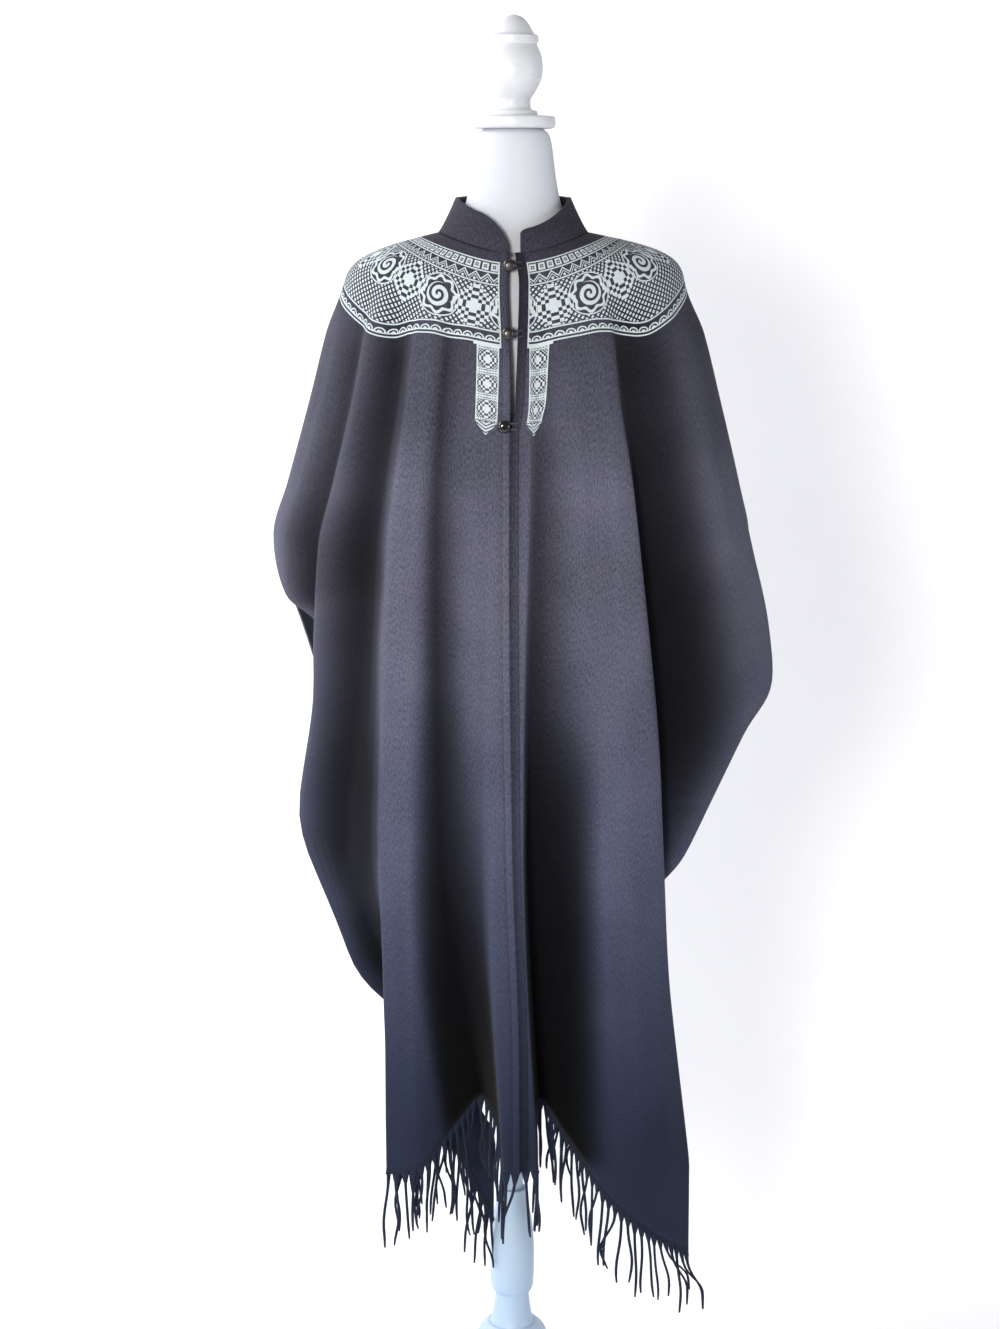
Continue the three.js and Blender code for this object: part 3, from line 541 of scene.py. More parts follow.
def panelGrid(panel):
    # Columns run round the body and rows run down the cloth; returns the points and each point's place in the cut.
    count = (len(folds[panel]) - 1) * drape["columnsPerFold"] + 1
    q = np.linspace(0, len(folds[panel]) - 1, count)
    _, topZ = neckline(headingOf(panel, q, np.full(count, float(drape["neckSideZ"]))))
    fine = np.linspace(0, 1, 260) ** 1.6
    z = topZ[:, None] + (endHeight(panel, q) - topZ)[:, None] * fine
    points = surfaceAt(panel, q[:, None] + 0 * z, z)
    shares = np.linspace(0, 1, drape["rows"]) ** drape["crowding"]
    made = [alongPath(column, shares) for column in points]
    grid = np.stack([column for column, _ in made])
    down = np.stack([shares * length for _, length in made])
    steps = np.linalg.norm(np.diff(grid, axis=0), axis=-1)
    across = np.concatenate([np.zeros((1, grid.shape[1])), np.cumsum(steps, axis=0)])
    turn = -1 if panel == "right" else 1
    heading = np.degrees(np.arctan2(grid[..., 0], -grid[..., 1]))
    heading = np.where(panel == "back", heading % 360, np.abs(heading))
    depth = creaseDepth(panel, heading, grid[..., 2])
    behind = depthBehindFolds(panel, q, grid[..., 2])
    normals = gridNormals(grid, turn)
    grid = grid + normals * depth[..., None]
    return {"points": grid, "across": across, "down": down, "heading": heading, "turn": turn,
            "normals": gridNormals(grid, turn), "depth": behind}


panels = {name: panelGrid(name) for name in folds}
print("cloth surfaces worked out")

# The printed yoke, in mm: how far down the cloth its two borders lie, by heading, the height where its length
# round the body is taken, the bare margin along the front edges, and how its hanging bands stand and lean.
yoke = {
    "headings": [0, 22, 40, 52, 66, 78, 90, 130, 180],
    "inner": [13, 13, 14, 16, 19, 21, 22, 18, 16],
    "outer": [121, 119, 125, 140, 168, 166, 158, 140, 132],
    "roundAt": 1545.0,
    "edgeMargin": 11,
    "bandCentre": 28,
    "bandLean": 0.03,
}


# The print's own sizes, in mm: distances run from the yoke's inner or outer border, and a pair is a middle and a
# half-width unless a note says otherwise.
printSizes = {
    "innerBorder": 1.7, "outerBorder": 1.8, "edgeLine": 0.9,
    "innerLines": [(15.0, 0.9), (30.5, 0.9)], "outerLines": [(5.2, 0.8), (17.0, 0.9)],
    "blockRepeat": 13.0, "blockMiddle": 8.1,
    "block": (4.9, 3.4, 12.8),             # half-width, then from and to
    "blockWindow": (2.4, 2.2), "blockEye": (1.0, 0.9),  # half-width and half-height
    "chevronRepeat": 17.0, "chevronBand": (16.8, 28.8), "chevronFoot": 17.6, "chevronStep": 4.0,
    "chevronHalf": 1.1, "chevronThinHalf": 0.7, "dotMiddle": 27.0, "dotHalf": 1.6,
    "fieldRepeat": 92.0, "fieldMiddle": 62.0, "fieldFromInner": 32.6, "fieldFromOuter": 18.6,
    "coilPitch": 9.0, "coilRadius": 15.5, "coilGap": 0.42,  # the gap is a share of the pitch
    "petals": 8.0, "petalDepth": 2.0, "petalRadius": 21.5, "petalHalf": 1.9,
    "roseRing": (26.6, 0.8), "roseRadius": 27.6,
    "stair": 4.6, "stairHeart": 5.0, "stairRings": (13.8, 23.0), "stairRingHalf": 2.4, "stairEdge": 25.0,
    "stairRadius": 26.0,
    "hatchRepeat": 7.4, "hatchGaps": (0.48, 0.36),  # shares of the repeat
    "scallopRepeat": 12.0, "scallopBand": (6.0, 16.0), "scallopArch": (4.9, 0.8), "scallopDot": 2.2,
    "ink": (0.62, 0.97),                   # the least and the most that the nap takes
}
hangingBand = {
    "capDown": 2.8, "capHalf": 19.0, "ladderDown": 95.5, "halfWidth": 14.4, "rail": 13.0, "farEdge": 70.0,
    "repeat": 31.0, "repeatStart": -18.5, "stair": 2.8, "heart": 3.0, "ring": (8.4, 1.5),
    "bar": 14.6, "thinBar": (12.6, 0.6), "hatchFrom": 13.0, "hatchRepeat": 3.4, "hatchGap": 0.55,
    "footDown": (96.6, 113.0), "taper": 0.94, "taperStart": 106.2,
    "stripeSlant": 0.55, "stripeRepeat": 4.2, "stripeGap": 0.4,
}


def panelMaps(panel, grid):
    # The yoke's map is (distance round, distance from its inner border); the second map is (distance from its
    # outer border, distance from the front edge); the hanging band's is (distance across, distance down); in dm.
    away = np.minimum(grid["heading"], 360 - grid["heading"])
    inner = curveAt(yoke["headings"], yoke["inner"], away)
    outer = curveAt(yoke["headings"], yoke["outer"], away)
    table = np.linspace(0, 180, 361)
    radii = drapeRadius(table, np.full(table.shape, yoke["roundAt"]))
    corners = np.stack([radii * np.sin(np.radians(table)), -radii * np.cos(np.radians(table))], axis=-1)
    lengths = np.concatenate([[0], np.cumsum(np.linalg.norm(np.diff(corners, axis=0), axis=1))])
    around = np.interp(away, table, lengths)
    edge = grid["across"] if panel != "back" else np.full(away.shape, 400.0)
    bandDown = grid["down"] - outer
    bandAcross = edge - yoke["bandCentre"] - yoke["bandLean"] * bandDown
    pair = lambda a, b: np.stack([a, b], axis=-1).reshape(-1, 2)
    return {
        "weave": pair(grid["across"], grid["down"]) * metre,
        "yoke": pair(around, grid["down"] - inner) * decimetre,
        "yokeEdge": pair(outer - grid["down"], edge) * decimetre,
        "hangingBand": pair(bandAcross, bandDown) * decimetre,
    }


def makePrintedWool():
    # The same wool with an off-white screen print: bands of blocks, chevrons, rosettes, diamonds and scallops.
    material, tree, shader = newMaterial("printedWool")
    colour = woolBase(tree, shader)

    def value(operation, *inputs):
        return addNode(tree, "ShaderNodeMath", dict(enumerate(inputs)), operation=operation)

    def mapAxes(name):
        split = addNode(tree, "ShaderNodeSeparateXYZ", {0: addNode(tree, "ShaderNodeUVMap", uv_map=name)})
        return [value("MULTIPLY", split.outputs[k], 1 / decimetre) for k in (0, 1)]  # back to mm

    around, fromInner = mapAxes("yoke")
    fromOuter, fromEdge = mapAxes("yokeEdge")
    across, down = mapAxes("hangingBand")
    both = lambda *parts: parts[0] if len(parts) == 1 else value("MULTIPLY", parts[0], both(*parts[1:]))
    either = lambda *parts: parts[0] if len(parts) == 1 else value("MAXIMUM", parts[0], either(*parts[1:]))
    above = lambda x, low: value("GREATER_THAN", x, low)
    below = lambda x, high: value("LESS_THAN", x, high)
    between = lambda x, low, high: both(above(x, low), below(x, high))
    near = lambda x, centre, half: below(value("ABSOLUTE", value("SUBTRACT", x, centre)), half)
    invert = lambda x: value("SUBTRACT", 1.0, x)

    distance = lambda x, y: value("ABSOLUTE", value("SUBTRACT", x, y))
    stairs = lambda x, y, step: value("ADD", value("SNAP", x, step), value("SNAP", y, step))

    def cell(x, period, shift=0.0):
        # The place inside a repeat, from minus to plus half a period.
        start = value("ADD", x, period / 2 + shift)
        return value("SUBTRACT", value("FLOORED_MODULO", start, period), period / 2)

    size = printSizes
    edgeMargin = yoke["edgeMargin"]
    inYoke = both(above(fromInner, 0.0), above(fromOuter, 0.0), above(fromEdge, edgeMargin))
    lines = either(
        below(fromInner, size["innerBorder"]), below(fromOuter, size["outerBorder"]),
        near(fromEdge, edgeMargin + size["edgeLine"], size["edgeLine"]),
        *[near(fromInner, centre, half) for centre, half in size["innerLines"]],
        *[near(fromOuter, centre, half) for centre, half in size["outerLines"]],
    )
    # Blocks, each with a dark window and an eye in it.
    fromBlock = value("ABSOLUTE", cell(around, size["blockRepeat"]))
    (blockHalf, blockLow, blockHigh), blockMiddle = size["block"], size["blockMiddle"]
    windowHalf, windowTall = size["blockWindow"]
    eyeHalf, eyeTall = size["blockEye"]
    window = both(near(fromInner, blockMiddle, windowTall), below(fromBlock, windowHalf))
    block = both(between(fromInner, blockLow, blockHigh), below(fromBlock, blockHalf), invert(window))
    eye = both(near(fromInner, blockMiddle, eyeTall), below(fromBlock, eyeHalf))
    # Chevrons, a broad line and a thin one, with dots between them.
    fromChevron = value("ABSOLUTE", cell(around, size["chevronRepeat"]))
    chevronLine = value("ADD", fromChevron, size["chevronFoot"])
    thinLine = value("ADD", chevronLine, size["chevronStep"])
    chevrons = both(between(fromInner, *size["chevronBand"]), either(
        below(distance(fromInner, chevronLine), size["chevronHalf"]),
        below(distance(fromInner, thinLine), size["chevronThinHalf"]),
        both(near(fromInner, size["dotMiddle"], size["dotHalf"]), below(fromChevron, size["dotHalf"])),
    ))
    # The wide field holds coiled rosettes and stepped diamonds in turn, on a hatched ground.
    fieldY = value("SUBTRACT", fromInner, size["fieldMiddle"])
    inField = both(above(fromInner, size["fieldFromInner"]), above(fromOuter, size["fieldFromOuter"]))
    roseX = cell(around, size["fieldRepeat"])
    roseRadius = value("SQRT", value("ADD", value("MULTIPLY", roseX, roseX), value("MULTIPLY", fieldY, fieldY)))
    turnAngle = value("ARCTAN2", fieldY, roseX)
    inTurns = value("MULTIPLY", turnAngle, 1 / math.tau)
    coil = value("FRACT", value("MULTIPLY_ADD", roseRadius, 1 / size["coilPitch"], inTurns))
    waves = value("SINE", value("MULTIPLY", turnAngle, size["petals"]))
    petals = value("MULTIPLY_ADD", waves, size["petalDepth"], size["petalRadius"])
    rose = either(
        both(below(roseRadius, size["coilRadius"]), above(coil, size["coilGap"])),
        below(distance(roseRadius, petals), size["petalHalf"]),
        near(roseRadius, *size["roseRing"]),
    )
    inRose = below(roseRadius, size["roseRadius"])
    stepX = value("ABSOLUTE", cell(around, size["fieldRepeat"], size["fieldRepeat"] / 2))
    stair = stairs(stepX, value("ABSOLUTE", fieldY), size["stair"])
    diamond = either(below(stair, size["stairHeart"]),
                     *[value("COMPARE", stair, centre, size["stairRingHalf"]) for centre in size["stairRings"]])
    inDiamond = below(stair, size["stairRadius"])
    hatch = both(*[above(value("FRACT", value("MULTIPLY", value(way, around, fieldY), 1 / size["hatchRepeat"])), gap)
                   for way, gap in zip(("ADD", "SUBTRACT"), size["hatchGaps"])])
    field = both(inField, either(
        both(inRose, rose), both(below(stair, size["stairEdge"]), diamond),
        both(invert(either(inRose, inDiamond)), hatch)))
    # Scallops along the outer border.
    scallopLow, scallopHigh = size["scallopBand"]
    scallopX = cell(around, size["scallopRepeat"])
    scallopY = value("SUBTRACT", fromOuter, scallopLow)
    scallopRadius = value("SQRT", value("ADD", value("MULTIPLY", scallopX, scallopX),
                                        value("MULTIPLY", scallopY, scallopY)))
    scallops = both(between(fromOuter, scallopLow, scallopHigh), either(
        near(scallopRadius, *size["scallopArch"]), below(scallopRadius, size["scallopDot"])))
    yokePrint = both(inYoke, either(lines, block, eye, chevrons, field, scallops))

    # A hanging band beside the opening: a cap, stepped diamonds and bars between rails, and a pointed striped foot.
    size = hangingBand
    sideways = value("ABSOLUTE", across)
    fromDiamond = value("ABSOLUTE", cell(down, size["repeat"], size["repeatStart"]))
    stepsOut = stairs(sideways, fromDiamond, size["stair"])
    cap = both(between(down, 0.0, size["capDown"]), below(sideways, size["capHalf"]))
    hatched = value("FRACT", value("MULTIPLY", value("ADD", sideways, fromDiamond), 1 / size["hatchRepeat"]))
    ladder = both(between(down, size["capDown"], size["ladderDown"]), below(sideways, size["halfWidth"]), either(
        above(sideways, size["rail"]), below(stepsOut, size["heart"]), value("COMPARE", stepsOut, *size["ring"]),
        above(fromDiamond, size["bar"]), near(fromDiamond, *size["thinBar"]),
        both(above(stepsOut, size["hatchFrom"]), above(hatched, size["hatchGap"]))))
    taper = value("MULTIPLY_ADD", down, -size["taper"], size["taperStart"])
    slanted = value("MULTIPLY_ADD", sideways, size["stripeSlant"], down)
    stripes = above(value("FRACT", value("MULTIPLY", slanted, 1 / size["stripeRepeat"])), size["stripeGap"])
    foot = both(between(down, *size["footDown"]), below(sideways, taper), stripes)
    hanging = both(below(fromEdge, size["farEdge"]), above(fromEdge, edgeMargin), either(cap, ladder, foot))
    printed = either(yokePrint, hanging)

    # The ink sits on the nap, so fibres break it up a little.
    weave = addNode(tree, "ShaderNodeUVMap", uv_map="weave")
    inMillimetres = addNode(tree, "ShaderNodeMapping", {"Vector": weave, "Scale": (1 / metre, 1 / metre, 1)})
    grit = addNode(tree, "ShaderNodeTexNoise", {"Vector": inMillimetres, "Scale": 0.8, "Detail": 2.0})
    leastInk, mostInk = printSizes["ink"]
    taken = addNode(tree, "ShaderNodeMapRange", {
        "Value": grit, "From Min": 0.3, "From Max": 0.54, "To Min": leastInk, "To Max": mostInk})
    ink = value("MULTIPLY", printed, taken)
    mixed = addNode(tree, "ShaderNodeMix", {"Factor": ink, 6: colour, 7: linearColour(woolSettings["print"])},
                    data_type="RGBA")
    tree.links.new(mixed.outputs[2], shader.inputs["Base Color"])
    return material


printedWool = makePrintedWool()


def paintShadeDepth(piece, depth):
    # The wool paints shade from this attribute, which holds how deep each point lies, in dm.
    behind = piece.data.attributes.new("paintedShadeDepth", "FLOAT", "POINT")
    behind.data.foreach_set("value", (depth * decimetre).astype(np.float32).ravel())


def makePanel(panel, name, node):
    # A panel is its grid with the print's maps, thickened to both sides.
    grid = panels[panel]
    columns, rows = grid["points"].shape[:2]
    piece = makePiece(name, grid["points"].reshape(-1, 3), gridFaces(columns, rows, grid["turn"]), printedWool,
                      panelMaps(panel, grid))
    paintShadeDepth(piece, grid["depth"])
    addThickness(piece, drape["thickness"])
    return finish(piece, "wool", node)


frontRight = makePanel("right", "frontRightPanel", "front_right")
frontLeft = makePanel("left", "frontLeftPanel", "front_left")
backPanel = makePanel("back", "backPanel", "back")
print("panels made")

# Front bands: a folded strip stitched on each front edge. Lift is the way from the cloth's middle to the band's
# underside; shade is how deep the free edge reads and the share of the width over which that fades.
band = {"width": 8.5, "thickness": 2.6, "lift": 1.5, "crown": 0.9, "columns": 13, "rounding": 0.8,
        "shadeDepth": {"right": 16.0, "left": 13.0}, "shadeShare": {"right": 0.2, "left": 1.6},
        "overhang": {"right": 0.0, "left": 1.2}}


def makeBand(panel, name, node):
    # The strip is carried from the edge column, sideways along the cloth, with a low rounded back.
    grid = panels[panel]
    edge, inner = grid["points"][0], grid["points"][5]
    sideways = inner - edge
    sideways[:, 2] = 0
    sideways /= np.linalg.norm(sideways, axis=1, keepdims=True)
    out = grid["normals"][0]
    shares = np.linspace(0, 1, band["columns"])
    crown = np.sin(np.pi * shares) ** 0.5 * band["crown"]
    over = band["overhang"][panel]
    points = np.stack([edge + sideways * ((band["width"] + over) * s - over)
                       + out * (band["lift"] + band["thickness"] / 2 + c) for s, c in zip(shares, crown)])
    down = np.broadcast_to(grid["down"][0], points.shape[:2])
    across = shares[:, None] * band["width"] + 0 * down
    maps = {"weave": np.stack([across, down], axis=-1).reshape(-1, 2) * metre}
    piece = makePiece(name, points.reshape(-1, 3), gridFaces(*points.shape[:2], grid["turn"]), wool, maps)
    # The edge that faces the opening lies in its shadow.
    shade = band["shadeDepth"][panel] * np.clip(1 - shares / band["shadeShare"][panel], 0, 1)
    paintShadeDepth(piece, shade[:, None] + 0 * down)
    addThickness(piece, band["thickness"], band["rounding"])
    return finish(piece, "wool", node)


bandRight = makeBand("right", "frontBandRight", "front_band_right")
bandLeft = makeBand("left", "frontBandLeft", "front_band_left")

# The stand collar: its heights in mm, its top's half-widths, the headings of its two ends, over how many degrees
# each end is rounded off, how far its foot reaches into the cloth, and the painted shadow along the seam at the foot.
collar = {
    "thickness": 4, "frontRight": 44, "frontLeft": 30, "side": 45, "back": 36,
    "topSide": 72, "topFront": 79, "topBack": 68,
    "start": 6, "end": 355, "crowding": 1.3, "columns": 200, "rows": 18, "rounding": 1.3,
    "roundedRight": 30, "roundedLeft": 8, "leftCorner": 0.16,
    "footOut": 1.5, "footDown": 2.4, "seamShade": 15.0, "seamShare": 0.06,
}


def makeCollar():
    # Rows climb from the neckline and lean in to a smaller oval; both front ends are quarter ellipses.
    share = 1 - (1 - np.linspace(0, 1, collar["columns"] + 1)) ** collar["crowding"]
    heading = collar["start"] + (collar["end"] - collar["start"]) * share
    forward = np.cos(np.radians(heading))
    radius, footZ = neckline(heading)
    top = ovalRadius(heading, collar["topSide"], np.where(forward > 0, collar["topFront"], collar["topBack"]))
    inFront = np.where(heading > 180, collar["frontRight"], collar["frontLeft"])
    full = collar["side"] + (np.where(forward > 0, inFront, collar["back"]) - collar["side"]) * forward**2
    fromEnd = np.minimum((collar["end"] + 0.6 - heading) / collar["roundedRight"], 1)
    fromStart = np.minimum((heading - collar["start"]) / collar["roundedLeft"], 1)
    corner = 1 - collar["leftCorner"] + collar["leftCorner"] * np.sqrt(1 - (1 - fromStart) ** 2)
    height = full * np.sqrt(1 - (1 - fromEnd) ** 2) * corner
    rise = height / collar["side"]
    # The foot is let into the cloth, so that the seam is one smooth line.
    foot = radius - collar["thickness"] / 2 + collar["footOut"]
    sunk = collar["footDown"] * np.minimum(height / 12, 1)
    t = np.linspace(1, 0, collar["rows"] + 1)
    leaned = foot[:, None] + ((top - foot) * rise)[:, None] * t**0.8
    a = np.radians(heading)[:, None]
    z = (footZ - sunk)[:, None] + (height + sunk)[:, None] * t
    points = np.stack([leaned * np.sin(a), -leaned * np.cos(a), z], axis=-1)
    weave = np.stack([heading[:, None] * 1.5 + 0 * z, height[:, None] * (1 - t)], axis=-1)
    piece = makePiece("standCollar", points.reshape(-1, 3), gridFaces(*points.shape[:2], 1), wool,
                      {"weave": weave.reshape(-1, 2) * metre})
    # Painted shadow: the seam at the foot is a dark line.
    paintShadeDepth(piece, collar["seamShade"] * (t <= collar["seamShare"]) + 0 * z)
    addThickness(piece, collar["thickness"], collar["rounding"])
    return finish(piece, "wool", "collar")


standCollar = makeCollar()
print("bands and collar made")

# Fringe: bunches of warp that leave the hem wide, draw in to a twisted cord and sway into one another.
fringe = {
    "spacing": 12.0, "thickness": 3.9, "length": 101, "rings": 12, "sides": 6, "rootShare": 0.2, "rootWidth": 0.52,
    "bunches": (1, 4),     # from one strand to three
    "swing": 7, "wave": 4, "waveLength": 60, "depth": 4, "lengthSpread": 7, "bend": (0.9, 1.5), "wobble": 3.0,
    "fan": {"right": -6, "left": 34, "back": 0}, "fanFrom": 0.72, "tipTaper": 0.35,
}


def makeFringe(panel, name, node, firstFold, lastFold, seed):
    # A strand is a tube of oval rings along a path that drops from the hem, sways aside and comes forward.
    names = [row[0] for row in folds[panel]]
    step = drape["columnsPerFold"]
    chosen = slice(names.index(firstFold) * step, names.index(lastFold) * step + 1)
    grid = panels[panel]
    hem, out = grid["points"][chosen, -1], grid["normals"][chosen, -1]
    lengths = np.concatenate([[0], np.cumsum(np.linalg.norm(np.diff(hem, axis=0), axis=1))])
    count = int(lengths[-1] // fringe["spacing"])
    centres = (np.arange(count) + 0.5) / count * lengths[-1]
    sample = lambda values, at: np.stack([np.interp(at, lengths, values[:, k]) for k in range(3)], axis=-1)
    roots = sample(hem, centres)
    outward = sample(out, centres) * [1, 1, 0]
    outward /= np.linalg.norm(outward, axis=1, keepdims=True)
    slope = sample(hem, centres + 1) - sample(hem, centres - 1)
    along = slope * [1, 1, 0]
    along /= np.linalg.norm(along, axis=1, keepdims=True)
    random = np.random.default_rng(seed)
    # Neighbours of a bunch share a meeting point.
    bunch = np.repeat(np.arange(count), random.integers(*fringe["bunches"], count))[:count]
    meet = np.array([centres[bunch == b].mean() for b in bunch])
    swing = np.array([random.normal(0, fringe["swing"], count)[b] for b in bunch])
    swing += fringe["wave"] * np.sin(centres / fringe["waveLength"])
    # Next to a free corner the strands fan out.
    fan = fringe["fan"][panel] * smoothStep(fringe["fanFrom"], 1, centres / lengths[-1])
    pull = (meet - centres) + swing + fan
    depth = random.normal(0, fringe["depth"], count)
    long = fringe["length"] + random.normal(0, fringe["lengthSpread"], count)
    t = np.linspace(0, 1, fringe["rings"])
    bend = random.uniform(*fringe["bend"], count)[:, None]
    sway = pull[:, None] * np.sin(np.pi / 2 * np.minimum(t * 1.25, 1)) ** (2 * bend)
    wobble = random.normal(0, fringe["wobble"], (count, 1))
    aside = sway + wobble * np.sin(2 * np.pi * t + random.uniform(0, 6, (count, 1))) * t
    forth = depth[:, None] * t**1.5 + 1.5 * np.sin(np.pi * t)
    drop = long[:, None] * t * (1 - 0.03 * np.abs(aside) / 10)
    centre = (roots[:, None] + along[:, None] * aside[..., None] + outward[:, None] * forth[..., None])
    centre[..., 2] -= drop - 1.0
    # Each ring is an oval, nearly as wide as the spacing at the hem and round below.
    narrow = smoothStep(0, fringe["rootShare"], t)
    tip = 1 - fringe["tipTaper"] * smoothStep(0.85, 1, t)
    rootHalf = fringe["spacing"] * fringe["rootWidth"]
    halfAcross = (rootHalf * (1 - narrow) + fringe["thickness"] / 2 * narrow) * tip
    halfDeep = fringe["thickness"] / 2 * tip
    turnRound = 2 * np.pi * np.arange(fringe["sides"]) / fringe["sides"]
    acrossRing = halfAcross[:, None] * np.cos(turnRound)
    deepRing = halfDeep[:, None] * np.sin(turnRound)
    ring = acrossRing[..., None] * along[:, None, None] + deepRing[..., None] * outward[:, None, None]
    # The first ring lies along the hem's own slope.
    tilt = (slope[:, 2] / np.linalg.norm(slope[:, :2], axis=1))[:, None, None]
    ring[..., 2] += tilt * acrossRing * (1 - narrow)[:, None]
    points = centre[:, :, None] + ring
    maps = np.zeros(points.shape[:3] + (2,))
    maps[..., 0] = turnRound * 1.4 + centres[:, None, None]
    maps[..., 1] = drop[..., None]
    sides, rings = fringe["sides"], fringe["rings"]
    faces = []
    r, s = np.meshgrid(np.arange(rings - 1), np.arange(sides), indexing="ij")
    here, beside = r * sides + s, r * sides + (s + 1) % sides
    tube = np.stack([here, here + sides, beside + sides, beside], -1).reshape(-1, 4)
    flip = np.cross(along[0], outward[0])[2] < 0
    for k in range(count):
        base = k * sides * rings
        quads = tube + base
        faces += (quads[:, ::-1] if flip else quads).tolist()
        top, end = list(range(base, base + sides)), list(range(base + (rings - 1) * sides, base + rings * sides))
        faces += [top[::-1], end] if flip else [top, end[::-1]]
    piece = makePiece(name, points.reshape(-1, 3), faces, wool, {"weave": maps.reshape(-1, 2) * metre})
    return finish(piece, "wool", node)


fringeRight = makeFringe("right", "fringeFrontRight", "fringe_front_right", "edge", "corner", 5)
fringeLeft = makeFringe("left", "fringeFrontLeft", "fringe_front_left", "edge", "corner", 11)
fringeBack = makeFringe("back", "fringeBack", "fringe_back", "cornerLeft", "cornerRight", 23)
print("fringes made")


def lathe(profile, segments=72, between=5):
    # A smooth curve through the profile's (radius, height) corners, by its own length, turned round the axis.
    corners = np.array(profile, float)
    s = np.concatenate([[0], np.cumsum(np.linalg.norm(np.diff(corners, axis=0), axis=1))])
    fine = np.unique(np.concatenate([np.linspace(a, b, between + 1) for a, b in zip(s[:-1], s[1:])]))
    radius, z = np.maximum(curveAt(s, corners[:, 0], fine), 0.01), curveAt(s, corners[:, 1], fine)
    a = 2 * np.pi * np.arange(segments) / segments
    points = np.stack([np.cos(a)[:, None] * radius, np.sin(a)[:, None] * radius, z + 0 * a[:, None]], -1)
    return points, segments, len(fine)


def closedFaces(segments, rows):
    # The faces of a turned shape, with its lowest and highest ring closed.
    faces = gridFaces(segments, rows, -1, closed=True)
    faces.append([k * rows for k in range(segments)][::-1])
    faces.append([k * rows + rows - 1 for k in range(segments)])
    return faces


def makeTurned(name, node, profile):
    points, segments, rows = lathe(profile)
    piece = makePiece(name, points.reshape(-1, 3), closedFaces(segments, rows), paint)
    return finish(piece, "white_paint", node)


# The stand's profiles, as (radius, height) in mm; the finial's heights run from the disc's top.
discTop = 1755.3
finial = [(0, 0.3), (31.2, 0.3), (31.5, 1.2), (31, 5), (30, 6.6), (26, 7.4), (23.4, 9), (22.2, 12), (22, 19), (24, 24),
          (28.5, 31), (33.5, 40), (36.8, 50), (37.7, 59), (36.8, 70), (34, 80), (30.4, 87.5), (30, 89), (30.6, 90),
          (32, 91.4), (32, 98.6), (30.8, 100), (27, 101.4), (25.5, 103.4), (22.5, 109), (17.5, 116.5), (10, 123),
          (0, 126)]
makeTurned("neckFinial", "finial", [(r, z + discTop) for r, z in finial])
makeTurned("neckDisc", "neck_disc", [
    (0, 1739.3), (46, 1739.3), (50, 1739.8), (53.2, 1742), (54, 1745), (54, 1751), (53.2, 1754), (51, 1755.1),
    (48, discTop), (0, discTop)])
makeTurned("standPole", "pole", [(0, 300.3), (15, 300.3), (15, 302), (15, 898), (15, 899.7), (0, 899.7)])
makeTurned("standPedestal", "pedestal", [
    (0, 100.3), (31, 100.3), (30, 103), (27.5, 111), (25, 128), (23.4, 145), (23.4, 146.4), (24.6, 147.2),
    (27.6, 149.6), (29.6, 158), (30.6, 180), (30.8, 205), (29.6, 232), (26.6, 256), (22.8, 276), (20.3, 290),
    (20, 299), (19, 300), (0, 300)])
makeTurned("standBase", "base", [
    (0, 0), (157, 0), (159.4, 1), (160, 3), (159.6, 5.5), (157, 7.6), (150, 9.2), (125, 14), (90, 25), (66, 43),
    (55, 62), (50.5, 76), (48, 84), (44, 91), (38, 96.5), (34, 100), (0, 100)])

# The form's sections: height, half-width, and depth in front and behind.
formSections = np.array([
    [900, 150, 96, 98], [908, 158, 103, 106], [940, 164, 107, 110], [990, 165, 108, 111], [1080, 141, 97, 94],
    [1180, 118, 86, 79], [1280, 131, 99, 86], [1370, 150, 115, 94], [1440, 166, 114, 98], [1500, 190, 111, 98],
    [1530, 200, 107, 98], [1550, 200, 104, 98], [1565, 198, 100, 96], [1578, 190, 98, 94], [1590, 160, 92, 86],
    [1600, 110, 76, 70], [1615, 78, 63, 60], [1645, 61.5, 56, 55], [1663, 57.5, 54, 53], [1685, 54, 52, 51],
    [1722, 49, 48.5, 48], [1734, 45, 44.5, 44], [1739, 38, 38, 37],
])
formShape = {"underCloth": 5.6, "roundness": 2.2, "headings": 96, "rows": 150}


def makeForm():
    # Rounded oval sections, held a little under the cloth where it rests on them.
    ends = formSections[0, 0], formSections[-1, 0]
    z = np.unique(np.concatenate([np.linspace(*ends, formShape["rows"]), formSections[:, 0]]))
    heading = 360 * np.arange(formShape["headings"]) / formShape["headings"]
    h, zz = np.meshgrid(heading, z, indexing="ij")
    size = [curveAt(formSections[:, 0], formSections[:, k], zz) for k in (1, 2, 3)]
    own = ovalRadius(h, size[0], np.where(np.cos(np.radians(h)) > 0, size[1], size[2]), formShape["roundness"])
    _, neckZ = neckline(h)
    under = formShape["underCloth"]
    limit = np.where(zz + under < neckZ, drapeRadius(h, zz + under) - under,
                     ovalRadius(h, collar["topSide"], collar["topBack"]) - collar["thickness"])
    radius = np.minimum(own, limit)
    a = np.radians(h)
    points = np.stack([radius * np.sin(a), -radius * np.cos(a), zz], axis=-1)
    piece = makePiece("dressForm", points.reshape(-1, 3), closedFaces(len(heading), len(z)), jersey)
    return finish(piece, "jersey", "dress_form")


dressForm = makeForm()
print("form and stand made")

# Knobs and their loops; bandHeight is about how far a band's face stands out from the middle of the cloth.
knob = {"radius": 8.2, "depth": 9, "stemRadius": 2, "stemLength": 4.4, "standOff": 0.4, "fromEdge": 1.2,
        "bandHeight": 4.0, "segments": 48}
loop = {"radius": 1.1, "slack": 0.6, "sides": 10, "bandShare": 0.6}
